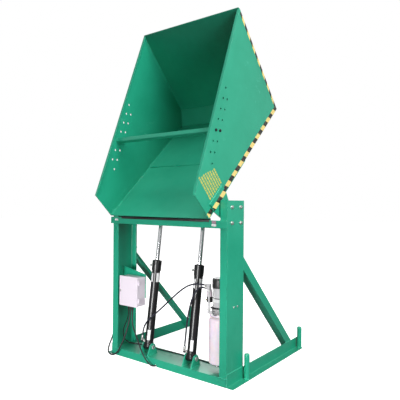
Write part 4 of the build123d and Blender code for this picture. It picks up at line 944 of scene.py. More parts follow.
# ---------------------------------------------------------------- tape, stickers, marking
class DUMPER_OT_edge_tape(bpy.types.Operator):
    """Sticks banded tape along the outer edges of both side plates"""
    bl_idname = "dumper.edge_tape"
    bl_label = "Edge Tape"

    def execute(self, context):
        size = sizes()
        thick = size.sticker
        for side, sign in SIDES:
            def strip(u0, u1, v0, v1, x):
                low = (min(sign * x, sign * (x + thick)), u0, v0)
                high = (max(sign * x, sign * (x + thick)), u1, v1)
                return placed(slab(low, high, thick * 0.3, 1), CHUTE)
            platform = strip(size.tape_back + 0.002, 0.905, 0.001, size.tape_platform, PLATE_FACE)
            back = joined([strip(0.001, size.tape_back, 0.001, 1.1265, PLATE_FACE),
                           strip(0.001, size.tape_back, 1.129, 1.334, 0.529),
                           strip(0.001, size.tape_back, 1.3365, 1.402, PLATE_FACE)])
            finish_piece(platform, f"platform_tape_{side}", "chute", "platform tape", 0)
            finish_piece(back, f"back_tape_{side}", "chute", "back tape", 0)
        return {"FINISHED"}


class DUMPER_OT_stickers(bpy.types.Operator):
    """Adds blank stickers and a block of plain yellow bars"""
    bl_idname = "dumper.stickers"
    bl_label = "Stickers and Marking"

    def execute(self, context):
        thick = sizes().sticker
        tags = [slab((x - 0.021, BEAM_FACE - thick, z), (x + 0.021, -0.0249, z + 0.016), 0.0002, 1)
                for x, z in ((-0.540, 1.176), (0.496, 1.164))]
        finish_piece(joined(tags), "beam_stickers", "frame", "white sticker")
        rose = slab((0.478, BEAM_FACE - thick, 1.182), (0.514, -0.0249, 1.204), 0.0002, 1)
        finish_piece(rose, "beam_sticker_rose", "frame", "rose sticker")
        for side, sign in SIDES:
            wraps = [self.wrap(CYLINDER_X * sign, 0.540, 0.615, -9, 30),
                     self.wrap(CYLINDER_X * sign, 0.538, 0.612, -104, 18),
                     self.wrap(CYLINDER_X * sign, 0.056, 0.140, -62, 21)]
            finish_piece(joined(wraps), f"barrel_stickers_{side}", f"cylinder_{side}", "white sticker")
        bars = []
        for row in range(8):
            v = 1.112 + row * 0.0255
            u, end = 0.085, 0.226 + row * 0.0096
            index = 0
            while u < end - 0.008:
                run = (0.017, 0.028, 0.011, 0.022)[(index + row) % 4]
                stop = min(end, u + run)
                bars.append(placed(slab((PLATE_FACE, u, v), (PLATE_FACE + thick, stop, v + 0.015)),
                                   CHUTE))
                u = stop + 0.005
                index += 1
        finish_piece(joined(bars), "plain_marking_bars", "chute", "yellow marking", 0)
        return {"FINISHED"}

    def wrap(self, x, low, high, angle, half):
        """A sticker wrapped on a barrel, centred at an angle and reaching half degrees each way."""
        drop_all()
        bpy.ops.mesh.primitive_cylinder_add(vertices=90, radius=BARREL_R + 0.0001, depth=high - low,
                                            location=(0, 0, (low + high) / 2), end_fill_type="NOTHING")
        piece = settle_transform(bpy.context.object)
        middle = math.radians(angle)
        cut_back(piece, lambda at, way: way.x * math.cos(middle) + way.y * math.sin(middle)
                 < math.cos(math.radians(half)))
        applied(piece, "SOLIDIFY", thickness=sizes().sticker, offset=1)
        return placed(piece, barrel_axes(x))


def barrel_axes(x):
    """From a cylinder's own axes, Z from its base pin to its rod pin, to where it stands."""
    return shift((x, *BASE_PIN)) @ Matrix.Rotation(-LEAN, 4, "X")


# ---------------------------------------------------------------- bolts
def bolt_head(radius, height, washer):
    """A hexagon head on its washer, upright, its seat at zero."""
    seat = turned([(0, washer), (0.0022, washer), (0.0026, washer - 0.0006), (0.0026, radius * 0.9)], 32)
    head = prism(6, radius, 0.0024, height, 0.0010)
    dome = turned([(height - 0.001, radius * 0.80), (height, radius * 0.78),
                   (height + 0.0006, radius * 0.6)], 32)
    return joined([seat, head, dome])


def bolt_tail(radius, nut, height, reach, washer):
    """A washer, nut and threaded end, upright, its seat at zero."""
    seat = turned([(0, washer), (0.0022, washer), (0.0026, washer - 0.0006)], 32)
    hexagon = prism(6, nut, 0.0024, height, 0.0010)
    steps = [(height - 0.001, radius)]
    at = height
    while at < reach - 0.001:
        steps += [(at, radius), (at + 0.0008, radius - 0.0009), (at + 0.0016, radius)]
        at += 0.0016
    thread = turned([*steps, (reach, radius - 0.001)], 24)
    return joined([seat, hexagon, thread])


class DUMPER_OT_bolts(bpy.types.Operator):
    """Sets the bearing bolts, the power unit's bolts and the retainer bar's bolts"""
    bl_idname = "dumper.bolts"
    bl_label = "Bolts"

    def execute(self, context):
        washer = sizes().washer
        head = bolt_head(0.0136, 0.0118, washer)
        bar_head = bolt_head(0.0100, 0.0090, 0.0118)
        tail = bolt_tail(0.008, 0.0136, 0.0135, 0.020, washer)
        small_head = bolt_head(0.0070, 0.0046, 0.0078)
        small_tail = bolt_tail(0.004, 0.0072, 0.0068, 0.0105, 0.0088)
        parts = []
        roll = 0.0
        for dy in (-0.060, 0.060):
            for dz in (-0.0585, 0.0585):
                roll += 0.4
                at = (0.6008, PIVOT_Y + dy, PIVOT_Z + dz)
                parts.append(copied(head, toward((1, 0, 0), at, roll)))
                parts.append(copied(tail, toward((-1, 0, 0), (0.578, at[1], at[2]), roll * 2)))
        parts += [copied(part, MIRROR) for part in parts]
        for dy in (-0.024, 0.024):
            parts.append(copied(small_head, toward((1, 0, 0), (0.601, 0.113 + dy, 0.565), dy * 30)))
            parts.append(copied(small_tail, toward((-1, 0, 0), (0.588, 0.113 + dy, 0.565), dy * 40)))
        finish_piece(joined(parts), "frame_bolt_set", "frame", "zinc plate", 30, ["frame_bolts"])
        front, rear = self.bar_holes()
        parts = []
        for index, (u, v) in enumerate((front, rear)):
            at = CHUTE @ Vector((PLATE_FACE, u, v))
            parts.append(copied(bar_head, toward((1, 0, 0), at, 0.5 + index)))
        at = CHUTE @ Vector((0.505, *rear))
        parts.append(copied(tail, toward((-1, 0, 0), at, 0.9)))
        parts += [copied(part, MIRROR) for part in parts]
        finish_piece(joined(parts), "retainer_bolt_set", "chute", "black oxide", 30, ["retainer_bolts"])
        for part in (head, bar_head, tail, small_head, small_tail):
            bpy.data.objects.remove(part)
        return {"FINISHED"}

    def bar_holes(self):
        """The pair of adjusting holes that hold the bar, in u and v."""
        along = HOLE_PITCH * BAR_ROW / math.hypot(*EDGE_RUN)
        front = [start + run * along for start, run in zip(FRONT_HOLE, EDGE_RUN)]
        return front, [at + back for at, back in zip(front, REAR_SHIFT)]


# ---------------------------------------------------------------- cylinders
class DUMPER_OT_cylinders(bpy.types.Operator):
    """Adds the wipers, ring welds, swivel nuts and crimps to both cylinders"""
    bl_idname = "dumper.cylinders"
    bl_label = "Cylinder Details"

    def execute(self, context):
        for side, sign in SIDES:
            axes = barrel_axes(CYLINDER_X * sign)
            wiper = turned([(0.7215, 0.0260), (0.7245, 0.0255), (0.7265, 0.0215), (0.7270, 0.0180),
                            (0.7240, 0.0162)], 40)
            grooves = ring(0.0366, 0.0016, (0, 0, 0.6365))
            seals = placed(joined([wiper, grooves]), axes)
            finish_piece(seals, f"wiper_{side}", f"cylinder_{side}", "cord rubber")
            welds = placed(ring_bead((0, 0, 0.030), (0, 0, 1), 0.0362, 46), axes)
            finish_piece(welds, f"barrel_weld_{side}", f"cylinder_{side}", "ram black")
            turn = axes @ Matrix.Rotation(math.radians(40), 4, "Z")
            nut = placed(prism(6, 0.0128, 0.0, 0.010, 0.0012),
                         turn @ toward((-1, 0, 0), (-0.0375, 0, 0.044)))
            swivel = placed(prism(6, 0.0125, 0.0, 0.012, 0.0012), turn @ shift((-0.060, 0, 0.047)))
            plug = placed(prism(6, 0.0118, 0.0, 0.006, 0.0010),
                          turn @ toward((-1, 0, 0), (-0.054, 0, 0.679)))
            sleeve = turned([(0.0385, 0.0112), (0.0400, 0.0112), (0.0405, 0.0104), (0.0545, 0.0104)], 28)
            placed(sleeve, turn @ toward((-1, 0, 0), (0, 0, 0.679)))
            finish_piece(joined([nut, swivel, plug, sleeve]), f"port_nuts_{side}", f"cylinder_{side}",
                         "zinc plate", 30)
            crimp = turned([(0.0615, 0.0096), (0.0640, 0.0104), (0.0665, 0.0104), (0.0675, 0.0097),
                            (0.0700, 0.0104), (0.0725, 0.0104), (0.0735, 0.0097), (0.0760, 0.0104),
                            (0.0785, 0.0104), (0.0795, 0.0097), (0.0820, 0.0104), (0.0850, 0.0100),
                            (0.0858, 0.0070)], 32)
            placed(crimp, turn @ shift((-0.060, 0, 0)))
            finish_piece(crimp, f"hose_crimp_{side}", "frame", "zinc plate", 30)
            sleeve = turned([(0, 0.0168), (0.006, 0.0188), (0.016, 0.0188), (0.020, 0.0165)], 36)
            eye = axes @ shift((0, 0, 1.2941))
            finish_piece(placed(sleeve, eye), f"rod_eye_weld_{side}", f"piston_rod_{side}", "ram black")
            for end, x in (("inner", -1), ("outer", 1)):
                at = (CYLINDER_X * sign + x * 0.0545, *BASE_PIN)
                cap = turned([(0, 0.0125), (0.0006, 0.0125), (0.0010, 0.0118)], 32)
                clip = ring(0.0152, 0.0014, (0, 0, 0.0006), 36, 8)
                piece = placed(joined([cap, clip]), toward((x, 0, 0), at))
                finish_piece(piece, f"base_pin_clip_{side}_{end}", "frame", "zinc plate", 30)
        return {"FINISHED"}


# ---------------------------------------------------------------- power unit
UNIT = (0.460, 0.113)


class DUMPER_OT_power_unit(bpy.types.Operator):
    """Builds the tank, manifold, motor, cap and start solenoid"""
    bl_idname = "dumper.power_unit"
    bl_label = "Power Unit"

    def execute(self, context):
        at = shift((*UNIT, 0))
        tank = turned([
            (0.1235, 0.0600), (0.1220, 0.0660), (0.1222, 0.0740), (0.1260, 0.0800), (0.1340, 0.0828),
            (0.1500, 0.0830), (0.2120, 0.0822), (0.2150, 0.0830), (0.4420, 0.0830), (0.4520, 0.0820),
            (0.4610, 0.0770), (0.4680, 0.0680), (0.4720, 0.0585), (0.4745, 0.0520), (0.4820, 0.0510),
        ], 64)
        seam = turned([(0.3280, 0.0822), (0.3284, 0.0830), (0.3296, 0.0830), (0.3300, 0.0822)], 64)
        finish_piece(placed(joined([tank, seam]), at), "oil_tank", "frame", "tank plastic", 40,
                     ["reservoir"])
        cap = turned([(0.456, 0.0075), (0.476, 0.0075), (0.478, 0.0090), (0.492, 0.0090), (0.496, 0.0084),
                      (0.4985, 0.0060), (0.4995, 0.0030)], 24)
        reach = (0.083 - 0.009 - 0.002) / math.sqrt(2)
        placed(cap, shift((UNIT[0] - reach, UNIT[1] - reach, 0)))
        finish_piece(cap, "filler_breather", "frame", "tank plastic", 40, ["filler_cap"])
        self.manifold()
        self.motor(at)
        self.solenoid()
        return {"FINISHED"}

    def manifold(self):
        x, y = UNIT
        core = slab((x - 0.045, y - 0.045, 0.486), (x + 0.045, y + 0.045, 0.536), 0.006, 3)
        raised(core, lambda at, way: way.y < -0.9 and abs(at.x - x) < 0.03, 0.012, push=(0, -0.004, 0))
        raised(core, lambda at, way: way.x < -0.9 and abs(at.y - y) < 0.03, 0.014, push=(-0.004, 0, 0))
        flange = placed(turned([(0.4820, 0.0490), (0.4825, 0.0500), (0.4880, 0.0500), (0.4890, 0.0480)],
                               48),
                        shift((x, y, 0)))
        top = placed(turned([(0.5330, 0.0450), (0.5350, 0.0495), (0.5400, 0.0495)], 48),
                     shift((x, y, 0)))
        bosses = []
        for angle in (20, 110, 200, 290):
            a = math.radians(angle)
            boss = turned([(0.483, 0.0090), (0.530, 0.0085), (0.536, 0.0075)], 20)
            bosses.append(placed(boss, shift((x + 0.040 * math.cos(a), y + 0.040 * math.sin(a), 0))))
        finish_piece(joined([core, flange, top, *bosses]), "valve_block", "frame", "cast aluminium", 35,
                     ["manifold"])
        plugs = [placed(prism(6, 0.0075, 0, 0.005, 0.0008),
                        toward((-1, 0, 0), (x - 0.0488, y - 0.018, 0.502))),
                 placed(prism(6, 0.0075, 0, 0.005, 0.0008),
                        toward((-1, 0, 0), (x - 0.0488, y + 0.018, 0.520))),
                 placed(prism(6, 0.0090, 0, 0.006, 0.0008),
                        toward((0, -1, 0), (x + 0.020, y - 0.0488, 0.512)))]
        finish_piece(joined(plugs), "valve_plugs", "frame", "zinc plate", 30)

    def motor(self, at):
        shell = turned([(0.5480, 0.0530), (0.5485, 0.0560), (0.5600, 0.0560), (0.5606, 0.0545),
                        (0.6790, 0.0545), (0.6796, 0.0560), (0.6895, 0.0560), (0.6900, 0.0540)], 64)
        finish_piece(placed(shell, at), "motor_shell", "frame", "silver enamel", 30, ["motor_body"])
        band = turned([(0.5860, 0.0546), (0.5864, 0.0549), (0.6096, 0.0549), (0.6100, 0.0546)], 64)
        finish_piece(placed(band, at), "motor_band_white", "frame", "white sticker", 30)
        dark = turned([(0.6110, 0.0546), (0.6114, 0.0550), (0.6176, 0.0550), (0.6180, 0.0546)], 64)
        finish_piece(placed(dark, at), "motor_band_dark", "frame", "black moulding", 30)
        bolts = []
        for angle in (-20, 70, 160, 250):
            a = math.radians(angle)
            rod = turned([(0.5600, 0.0022), (0.6795, 0.0022)], 10)
            bolts.append(placed(rod, at @ shift((0.0555 * math.cos(a), 0.0555 * math.sin(a), 0))))
        finish_piece(joined(bolts), "motor_through_bolts", "frame", "zinc plate", 30)
        cap = turned([(0.6900, 0.0555), (0.6905, 0.0583), (0.7010, 0.0585), (0.7016, 0.0570),
                      (0.7040, 0.0570),
                      (0.7046, 0.0585), (0.7480, 0.0584), (0.7560, 0.0575), (0.7610, 0.0545),
                      (0.7630, 0.0510)], 64)
        finish_piece(placed(cap, at), "motor_cover", "frame", "black moulding", 32, ["motor_cap"])
        # Silver disc on top of the black cover: a painted highlight where light falls on the cover's top
        highlight_disc = turned([(0.7625, 0.0490), (0.7645, 0.0490), (0.7655, 0.0470), (0.7658, 0.0400)], 64)
        finish_piece(placed(highlight_disc, at), "motor_cover_painted_highlight", "frame", "silver enamel", 32)

    def solenoid(self):
        x, y = 0.374, 0.099
        at = shift((x, y, 0))
        can = turned([(0.6120, 0.0190), (0.6130, 0.0212), (0.6300, 0.0214), (0.6500, 0.0200),
                      (0.6660, 0.0170),
                      (0.6760, 0.0135), (0.6810, 0.0100), (0.6830, 0.0050)], 40)
        finish_piece(placed(can, at), "start_switch_can", "frame", "rose shell", 50, ["start_solenoid"])
        cup = turned([(0.5725, 0.0140), (0.5720, 0.0200), (0.5740, 0.0222), (0.5860, 0.0230),
                      (0.5866, 0.0218),
                      (0.5890, 0.0218), (0.5896, 0.0230), (0.6000, 0.0230), (0.6006, 0.0218),
                      (0.6030, 0.0218),
                      (0.6036, 0.0230), (0.6140, 0.0226), (0.6160, 0.0200)], 40)
        strap = slab((x + 0.010, y - 0.005, 0.580), (0.4085, y + 0.005, 0.602), 0.0016)
        raised(strap, lambda at, way: way.y < -0.9, 0.003, -0.001)
        parts = joined([placed(cup, at), strap])
        finish_piece(parts, "start_switch_base", "frame", "black moulding", 40)
        studs = []
        for dx, dy in ((-0.012, -0.012), (0.012, -0.014)):
            stud = turned([(0.0, 0.0032), (0.003, 0.0032), (0.0032, 0.0052), (0.007, 0.0052),
                           (0.0072, 0.003),
                           (0.010, 0.003)], 6)
            studs.append(placed(stud, toward((dx * 60, -1, 0), (x + dx, y - 0.0185, 0.592))))
        finish_piece(joined(studs), "start_switch_studs", "frame", "brass", 30)


class DUMPER_OT_pressure_line(bpy.types.Operator):
    """Adds nuts and crimps to the tee and riser of the pressure line"""
    bl_idname = "dumper.pressure_line"
    bl_label = "Pressure Line Fittings"

    def execute(self, context):
        parts = []
        x, y = 0.410, 0.040
        for z in (0.526, 0.664):
            parts.append(placed(prism(6, 0.0125, 0, 0.013, 0.0012), shift((x, y, z))))
        for z in (0.712, 0.691):
            parts.append(placed(prism(6, 0.0108, 0, 0.008, 0.0010),
                                toward((-1, 0, 0), (x - 0.0118, y, z))))
            crimp = turned([(0.0, 0.0098), (0.0015, 0.0102), (0.004, 0.0102), (0.005, 0.0096),
                            (0.007, 0.0102),
                            (0.010, 0.0102), (0.011, 0.0096), (0.013, 0.0102), (0.017, 0.0102),
                            (0.0182, 0.0072)], 32)
            parts.append(placed(crimp, toward((-1, 0, 0), (x - 0.0198, y, z))))
        finish_piece(joined(parts), "pressure_line_nuts", "frame", "zinc plate", 30)
        return {"FINISHED"}


# ---------------------------------------------------------------- control box and hand control
class DUMPER_OT_control_box(bpy.types.Operator):
    """Adds the door's latch, gasket and hinge pins and the cable glands"""
    bl_idname = "dumper.control_box"
    bl_label = "Control Box"

    def execute(self, context):
        latch = placed(turned([(0, 0.0105), (0.0008, 0.0105), (0.0012, 0.0098), (0.0012, 0.0065),
                               (0.0002, 0.0060)], 36), toward((0, -1, 0), (-0.500, -0.0090, 0.571)))
        finish_piece(latch, "door_latch", "door", "zinc plate", 30)
        gasket = slab((-0.5135, -0.0018, 0.4485), (-0.3115, 0.0008, 0.6935), 0.0004)
        raised(gasket, lambda at, way: way.y > 0.9, 0.006, push=(0, -0.0014, 0))
        finish_piece(gasket, "door_gasket", "door", "cord rubber", 30)
        pins = []
        for z in (0.4948, 0.6474):
            for low, high in ((z - 0.0222, z - 0.0208), (z + 0.0208, z + 0.0222)):
                pins.append(placed(turned([(low, 0.0030), (high, 0.0030)], 20),
                                   shift((-0.30075, 0.0135, 0))))
        finish_piece(joined(pins), "hinge_pin_ends", "frame", "zinc plate", 30)
        glands = []
        for x, cord in ((-0.455, 0.009), (-0.430, 0.013), (-0.405, 0.011)):
            r = cord / 2
            nut = prism(6, 0.0116, 0.4395, 0.4485, 0.0012)
            claw = turned([(0.4265, r + 0.0018), (0.4285, 0.0082), (0.4310, 0.0094), (0.4396, 0.0096)],
                          24)
            raised(claw, lambda at, way: abs(way.z) < 0.3 and at.z > 0.432, 0.0007, -0.0004,
                   use_individual=True)
            sleeve = turned([(0.3860, r + 0.0007), (0.3875, r + 0.0013), (0.3930, r + 0.0014),
                             (0.3940, r + 0.0009), (0.3990, r + 0.0019), (0.4000, r + 0.0013),
                             (0.4060, r + 0.0024), (0.4070, r + 0.0017), (0.4130, r + 0.0028),
                             (0.4140, r + 0.0021), (0.4200, r + 0.0031), (0.4270, r + 0.0032)], 28)
            glands.append(placed(joined([nut, claw, sleeve]), shift((x, 0.045, 0))))
        finish_piece(joined(glands), "cable_gland_set", "frame", "black moulding", 35, ["cable_glands"])
        return {"FINISHED"}


class DUMPER_OT_control_gear(bpy.types.Operator):
    """Builds the contactor, transformer, terminals and wires inside the control box"""
    bl_idname = "dumper.control_gear"
    bl_label = "Control Gear"

    def execute(self, context):
        low, high = (Vector(v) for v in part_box("contactor"))
        body = slab((low.x, low.y + 0.010, low.z), high, 0.002)
        edit(body)
        pick(body, "FACE", lambda middle, way: way.y < -0.9)
        bpy.ops.mesh.inset(thickness=0.008, depth=0)
        bpy.ops.mesh.extrude_region_move(TRANSFORM_OT_translate={"value": (0, -0.007, 0)})
        bpy.ops.mesh.inset(thickness=0.004, depth=-0.0015)
        drop_all()
        finish_piece(body, "motor_contactor", "frame", "cream moulding", 30, ["contactor"])
        screws = []
        for z in (low.z + 0.006, high.z - 0.006):
            for x in (low.x + 0.010, (low.x + high.x) / 2, high.x - 0.010):
                screw = turned([(0, 0.0036), (0.0012, 0.0036), (0.0016, 0.0028)], 18)
                screws.append(placed(screw, toward((0, -1, 0), (x, low.y + 0.0102, z))))
        finish_piece(joined(screws), "contactor_screws", "frame", "zinc plate", 30)
        low, high = (Vector(v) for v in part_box("transformer"))
        core = slab((low.x, low.y + 0.014, low.z), (high.x, high.y, high.z), 0.0012)
        finish_piece(core, "transformer_core", "frame", "core steel", 30, ["transformer"])
        coil = slab((low.x + 0.010, low.y + 0.001, low.z + 0.008),
                    (high.x - 0.010, low.y + 0.020, high.z - 0.008),
                    0.005, 4)
        finish_piece(coil, "transformer_winding", "frame", "copper wire", 40)
        low, high = (Vector(v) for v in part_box("mounting_panel"))
        caps = []
        for index in range(7):
            x = low.x + 0.014 + 0.0045 + index * 0.011
            for z in (low.z + 0.018, low.z + 0.042):
                cap = turned([(0, 0.0030), (0.0010, 0.0030), (0.0010, 0.0022), (0.0002, 0.0020)], 16)
                caps.append(placed(cap, toward((0, -1, 0), (x, low.y, z))))
        finish_piece(joined(caps), "terminal_screws", "frame", "brass", 30)
        wires = []
        for index in range(5):
            start = Vector((low.x + 0.0185 + index * 0.011, low.y + 0.004, low.z + 0.052))
            end = Vector((-0.492 + index * 0.010, low.y - 0.012, 0.5745))
            middle = (start + end) / 2 + Vector((0, -0.006, 0))
            wires.append(self.wire([start, middle, end]))
        finish_piece(joined(wires), "control_wires", "frame", "blue wire", 60)
        return {"FINISHED"}

    def wire(self, points):
        """A short fixed wire, as a tube bent through its points."""
        take(tube("wire", points, 0.0024, 2))
        bpy.ops.object.convert(target="MESH")
        return bpy.context.object


class DUMPER_OT_hand_control(bpy.types.Operator):
    """Builds the hanging hand control with its boot, bezels and bail"""
    bl_idname = "dumper.hand_control"
    bl_label = "Hand Control"

    def execute(self, context):
        x_out, x_in, y = -0.649, -0.615, 0.107
        x = (x_out + x_in) / 2
        body = slab((x_out, y - 0.026, 0.690), (x_in, y + 0.026, 0.840), 0.006, 3)
        raised(body, lambda at, way: way.x < -0.9, 0.004, -0.0008)
        centre = 0.690 + 0.150 * 0.58
        button_heights = (centre + 0.023, centre - 0.023)
        for z in button_heights:
            drop_all()
            bpy.ops.mesh.primitive_cylinder_add(vertices=40, radius=0.01106, depth=0.032,
                                                rotation=(0, math.pi / 2, 0), location=(x_out, y, z))
            hole = settle_transform(bpy.context.object)
            applied(body, "BOOLEAN", object=hole, solver="EXACT")
            bpy.data.objects.remove(hole)
        seam = slab((x - 0.0005, y - 0.0262, 0.694), (x + 0.0005, y + 0.0262, 0.836), 0.0002, 1)
        finish_piece(joined([body, seam]), "hand_control_case", "frame", "yellow moulding", 35,
                     ["pendant_body"])
        boot = placed(turned([(0.668, 0.0085), (0.6695, 0.0100), (0.6735, 0.0100), (0.6745, 0.0088),
                              (0.6785, 0.0106), (0.6795, 0.0094), (0.6840, 0.0110), (0.6850, 0.0100),
                              (0.6910, 0.0112)], 32), shift((x, y, 0)))
        bail = ring(0.018, 0.003, (0, 0, 0), 40, 12)
        placed(bail, shift((x, y, 0.856)) @ Matrix.Rotation(math.pi / 2, 4, "Z")
               @ Matrix.Rotation(math.pi / 2, 4, "X"))
        bezels = [placed(turned([(0, 0.0142), (0.0014, 0.0140), (0.0020, 0.0128), (0.0020, 0.0116),
                                 (0.0006, 0.01125)], 40), toward((-1, 0, 0), (x_out, y, z)))
                  for z in button_heights]
        for bezel in bezels:
            cut_back(bezel, lambda at, way: abs(way.x) > 0.9
                     and math.hypot(at.y - y, min(abs(at.z - z) for z in button_heights)) < 0.004)
        finish_piece(joined([boot, bail, *bezels]), "hand_control_trim", "frame", "black moulding", 35)
        return {"FINISHED"}


# ---------------------------------------------------------------- small fittings
class DUMPER_OT_small_fittings(bpy.types.Operator):
    """Adds grease nipples, bearing seals, the clips that hold the motor cable and a black strip of
    painted shade on the beam
    """
    bl_idname = "dumper.small_fittings"
    bl_label = "Small Fittings"

    def execute(self, context):
        nipples, seals = [], []
        for side in (-1, 1):
            nipple = turned([(0, 0.0046), (0.004, 0.0046), (0.0042, 0.0030), (0.008, 0.0030),
                             (0.0085, 0.0036),
                             (0.0105, 0.0030), (0.0115, 0.0014)], 16)
            nipples.append(placed(nipple, shift((side * 0.558, PIVOT_Y, PIVOT_Z + 0.0515))))
            seal = ring(0.0262, 0.0016, (0, 0, 0), 44, 8)
            seals.append(placed(seal, toward((-side, 0, 0), (side * 0.549, PIVOT_Y, PIVOT_Z))))
            joint = ring(0.0452, 0.0012, (0, 0, 0), 48, 8)
            seals.append(placed(joint, toward((-side, 0, 0), (side * 0.549, PIVOT_Y, PIVOT_Z))))
        finish_piece(joined(nipples), "grease_nipples", "frame", "zinc plate", 30)
        finish_piece(joined(seals), "bearing_seals", "frame", "cord rubber", 40)
        clips = []
        for z in (0.200, 0.330, 0.460):
            clips += self.clip(0.0052, shift((0.5688, 0.1985, z)),
                               (0.5720, 0.1935, z - 0.0035), (0.5945, 0.1950, z + 0.0035),
                               toward((0, -1, 0), (0.586, 0.1937, z)))
        for x, y in ((-0.30, 0.1889), (-0.06, 0.1988), (0.18, 0.1968), (0.40, 0.1793)):
            clips += self.clip(0.0054, toward((1, 0, 0), (x, y, 0.0670)),
                               (x - 0.0035, y - 0.019, 0.0618), (x + 0.0035, y - 0.0045, 0.0632),
                               shift((x, y - 0.0125, 0.0630)))
        finish_piece(joined(clips), "cable_clips", "frame", "zinc plate", 40)
        # Black strip along the beam's top: painted shade for the dark slot under the chute's lip
        lip = slab((-0.478, -0.0268, 1.194), (0.455, -0.0249, 1.2222), 0.0006)
        shade_strip = slab((-0.478, -0.0268, 1.2066), (0.455, -0.0050, 1.2222), 0.0030, 3)
        finish_piece(joined([lip, shade_strip]), "beam_painted_shade_strip", "frame", "black moulding", 40)
        return {"FINISHED"}

    def clip(self, radius, hoop_place, low, high, screw_place):
        """A cord clip: its hoop, its strap between two corners and its screw."""
        hoop = ring(radius, 0.0011, (0, 0, 0), 28, 6)
        hoop.data.transform(Matrix.Scale(3.2, 4, (0, 0, 1)))
        screw = turned([(0, 0.0040), (0.0016, 0.0038), (0.0026, 0.0026)], 20)
        return [placed(hoop, hoop_place), slab(low, high, 0.0004, 1), placed(screw, screw_place)]


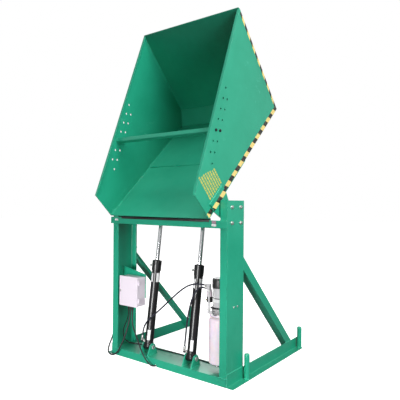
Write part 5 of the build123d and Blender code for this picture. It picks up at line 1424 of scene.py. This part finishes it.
# ---------------------------------------------------------------- stage
class DUMPER_OT_stage(bpy.types.Operator):
    """Sets up the pale floor, the soft lights and the camera"""
    bl_idname = "dumper.stage"
    bl_label = "Studio"

    def execute(self, context):
        studio = context.scene.dumper_studio
        drop_all()
        bpy.ops.mesh.primitive_plane_add(size=studio.floor, location=(0, 0, -0.0002))
        floor = bpy.context.object
        floor.name = "studio_floor"
        board, shader = start_finish("studio floor", Roughness=0.9, Emission_Color=(1, 1, 1))
        place = board.place()
        pale = board.blend(board.noise(place, 0.6, 2.0), (0.90, 0.90, 0.90), (0.97, 0.97, 0.97))
        seen = board.node("ShaderNodeLightPath").outputs["Is Camera Ray"]
        board.feed(shader.inputs["Base Color"], board.blend(seen, (0.22, 0.22, 0.22), pale))
        board.feed(shader.inputs["Emission Strength"], seen)
        floor.data.materials.append(FINISHES["studio floor"])
        for name, power, size, spread, place, aim in (
            ("key_light", studio.key, 2.4, 180, (4.6, -0.9, 2.8), (0, 0.3, 1.2)),
            ("top_light", studio.top, 1.6, 180, (1.0, -0.8, 5.4), (0, 0.0, 1.1)),
            ("back_light", studio.back, 2.6, 180, (-2.2, 4.6, 3.6), (0, 0.3, 1.0)),
            ("left_light", studio.left, 2.4, 180, (-4.6, -0.4, 2.8), (0, 0.3, 1.2)),
            ("side_light", studio.side, 1.4, 46, (0.7, -4.2, 0.6), (-0.1, 0, 0.4)),
        ):
            lamp = bpy.data.lights.new(name, "AREA")
            lamp.energy = power
            lamp.size = size
            lamp.spread = math.radians(spread)
            holder = bpy.data.objects.new(name, lamp)
            holder.location = place
            holder.rotation_euler = (Vector(aim) - Vector(place)).to_track_quat("-Z", "Y").to_euler()
            context.collection.objects.link(holder)
        world = bpy.data.worlds.new("studio")
        world.use_nodes = True
        sky = world.node_tree.nodes["Background"]
        sky.inputs["Color"].default_value = (1, 1, 1, 1)
        sky.inputs["Strength"].default_value = studio.sky
        board = Board(world.node_tree)
        seen = board.node("ShaderNodeBackground", {"Color": (1, 1, 1), "Strength": 1.0})
        path = board.node("ShaderNodeLightPath").outputs
        bright = board.sum("ADD", path["Is Camera Ray"],
                           board.sum("MULTIPLY", path["Is Glossy Ray"], 0.55))
        choose = board.node("ShaderNodeMixShader", {0: bright, 1: sky.outputs[0], 2: seen.outputs[0]})
        board.feed(world.node_tree.nodes["World Output"].inputs["Surface"], choose.outputs[0])
        context.scene.world = world
        context.scene.view_settings.view_transform = "Standard"
        self.camera(context, studio)
        return {"FINISHED"}

    def camera(self, context, studio):
        yaw, pitch, roll = (math.radians(a) for a in (36.9447, 0.3101, 0.4484))
        ahead = Vector((-math.sin(yaw) * math.cos(pitch), math.cos(yaw) * math.cos(pitch),
                        math.sin(pitch)))
        level = Vector((math.cos(yaw), math.sin(yaw), 0))
        upright = level.cross(ahead)
        across = level * math.cos(roll) + upright * math.sin(roll)
        up = upright * math.cos(roll) - level * math.sin(roll)
        data = bpy.data.cameras.new("camera")
        data.lens = studio.lens
        data.sensor_width = 36
        data.clip_end = 200
        holder = bpy.data.objects.new("camera", data)
        context.collection.objects.link(holder)
        turn = Matrix((across, up, -ahead)).transposed().to_4x4()
        holder.matrix_world = shift((2.385, -2.7082, 1.3384)) @ turn
        context.scene.camera = holder


# ---------------------------------------------------------------- panel and registration
STEPS = (
    DUMPER_OT_finishes, DUMPER_OT_cords, DUMPER_OT_paint, DUMPER_OT_frame_welds, DUMPER_OT_chute_welds,
    DUMPER_OT_edge_tape, DUMPER_OT_stickers, DUMPER_OT_bolts, DUMPER_OT_cylinders, DUMPER_OT_power_unit,
    DUMPER_OT_pressure_line, DUMPER_OT_control_box, DUMPER_OT_control_gear, DUMPER_OT_hand_control,
    DUMPER_OT_small_fittings, DUMPER_OT_stage,
)


class DUMPER_PT_panel(bpy.types.Panel):
    """Lists the dressing steps and their settings"""
    bl_label = "Box Dumper"
    bl_space_type = "VIEW_3D"
    bl_region_type = "UI"
    bl_category = "Dumper"

    def draw(self, context):
        layout = self.layout
        for step in STEPS:
            layout.operator(step.bl_idname)
        for group in (context.scene.dumper_finishes, context.scene.dumper_sizes,
                      context.scene.dumper_studio):
            for name in group.__annotations__:
                layout.prop(group, name)


CLASSES = (DumperFinishes, DumperSizes, DumperStudio, *STEPS, DUMPER_PT_panel)


def register():
    for item in CLASSES:
        bpy.utils.register_class(item)
    bpy.types.Scene.dumper_finishes = bpy.props.PointerProperty(type=DumperFinishes)
    bpy.types.Scene.dumper_sizes = bpy.props.PointerProperty(type=DumperSizes)
    bpy.types.Scene.dumper_studio = bpy.props.PointerProperty(type=DumperStudio)


def unregister():
    del bpy.types.Scene.dumper_studio
    del bpy.types.Scene.dumper_sizes
    del bpy.types.Scene.dumper_finishes
    for item in reversed(CLASSES):
        bpy.utils.unregister_class(item)


def main():
    register()
    for step in STEPS:
        group, name = step.bl_idname.split(".")
        getattr(getattr(bpy.ops, group), name)()


if __name__ == "__main__":
    main()
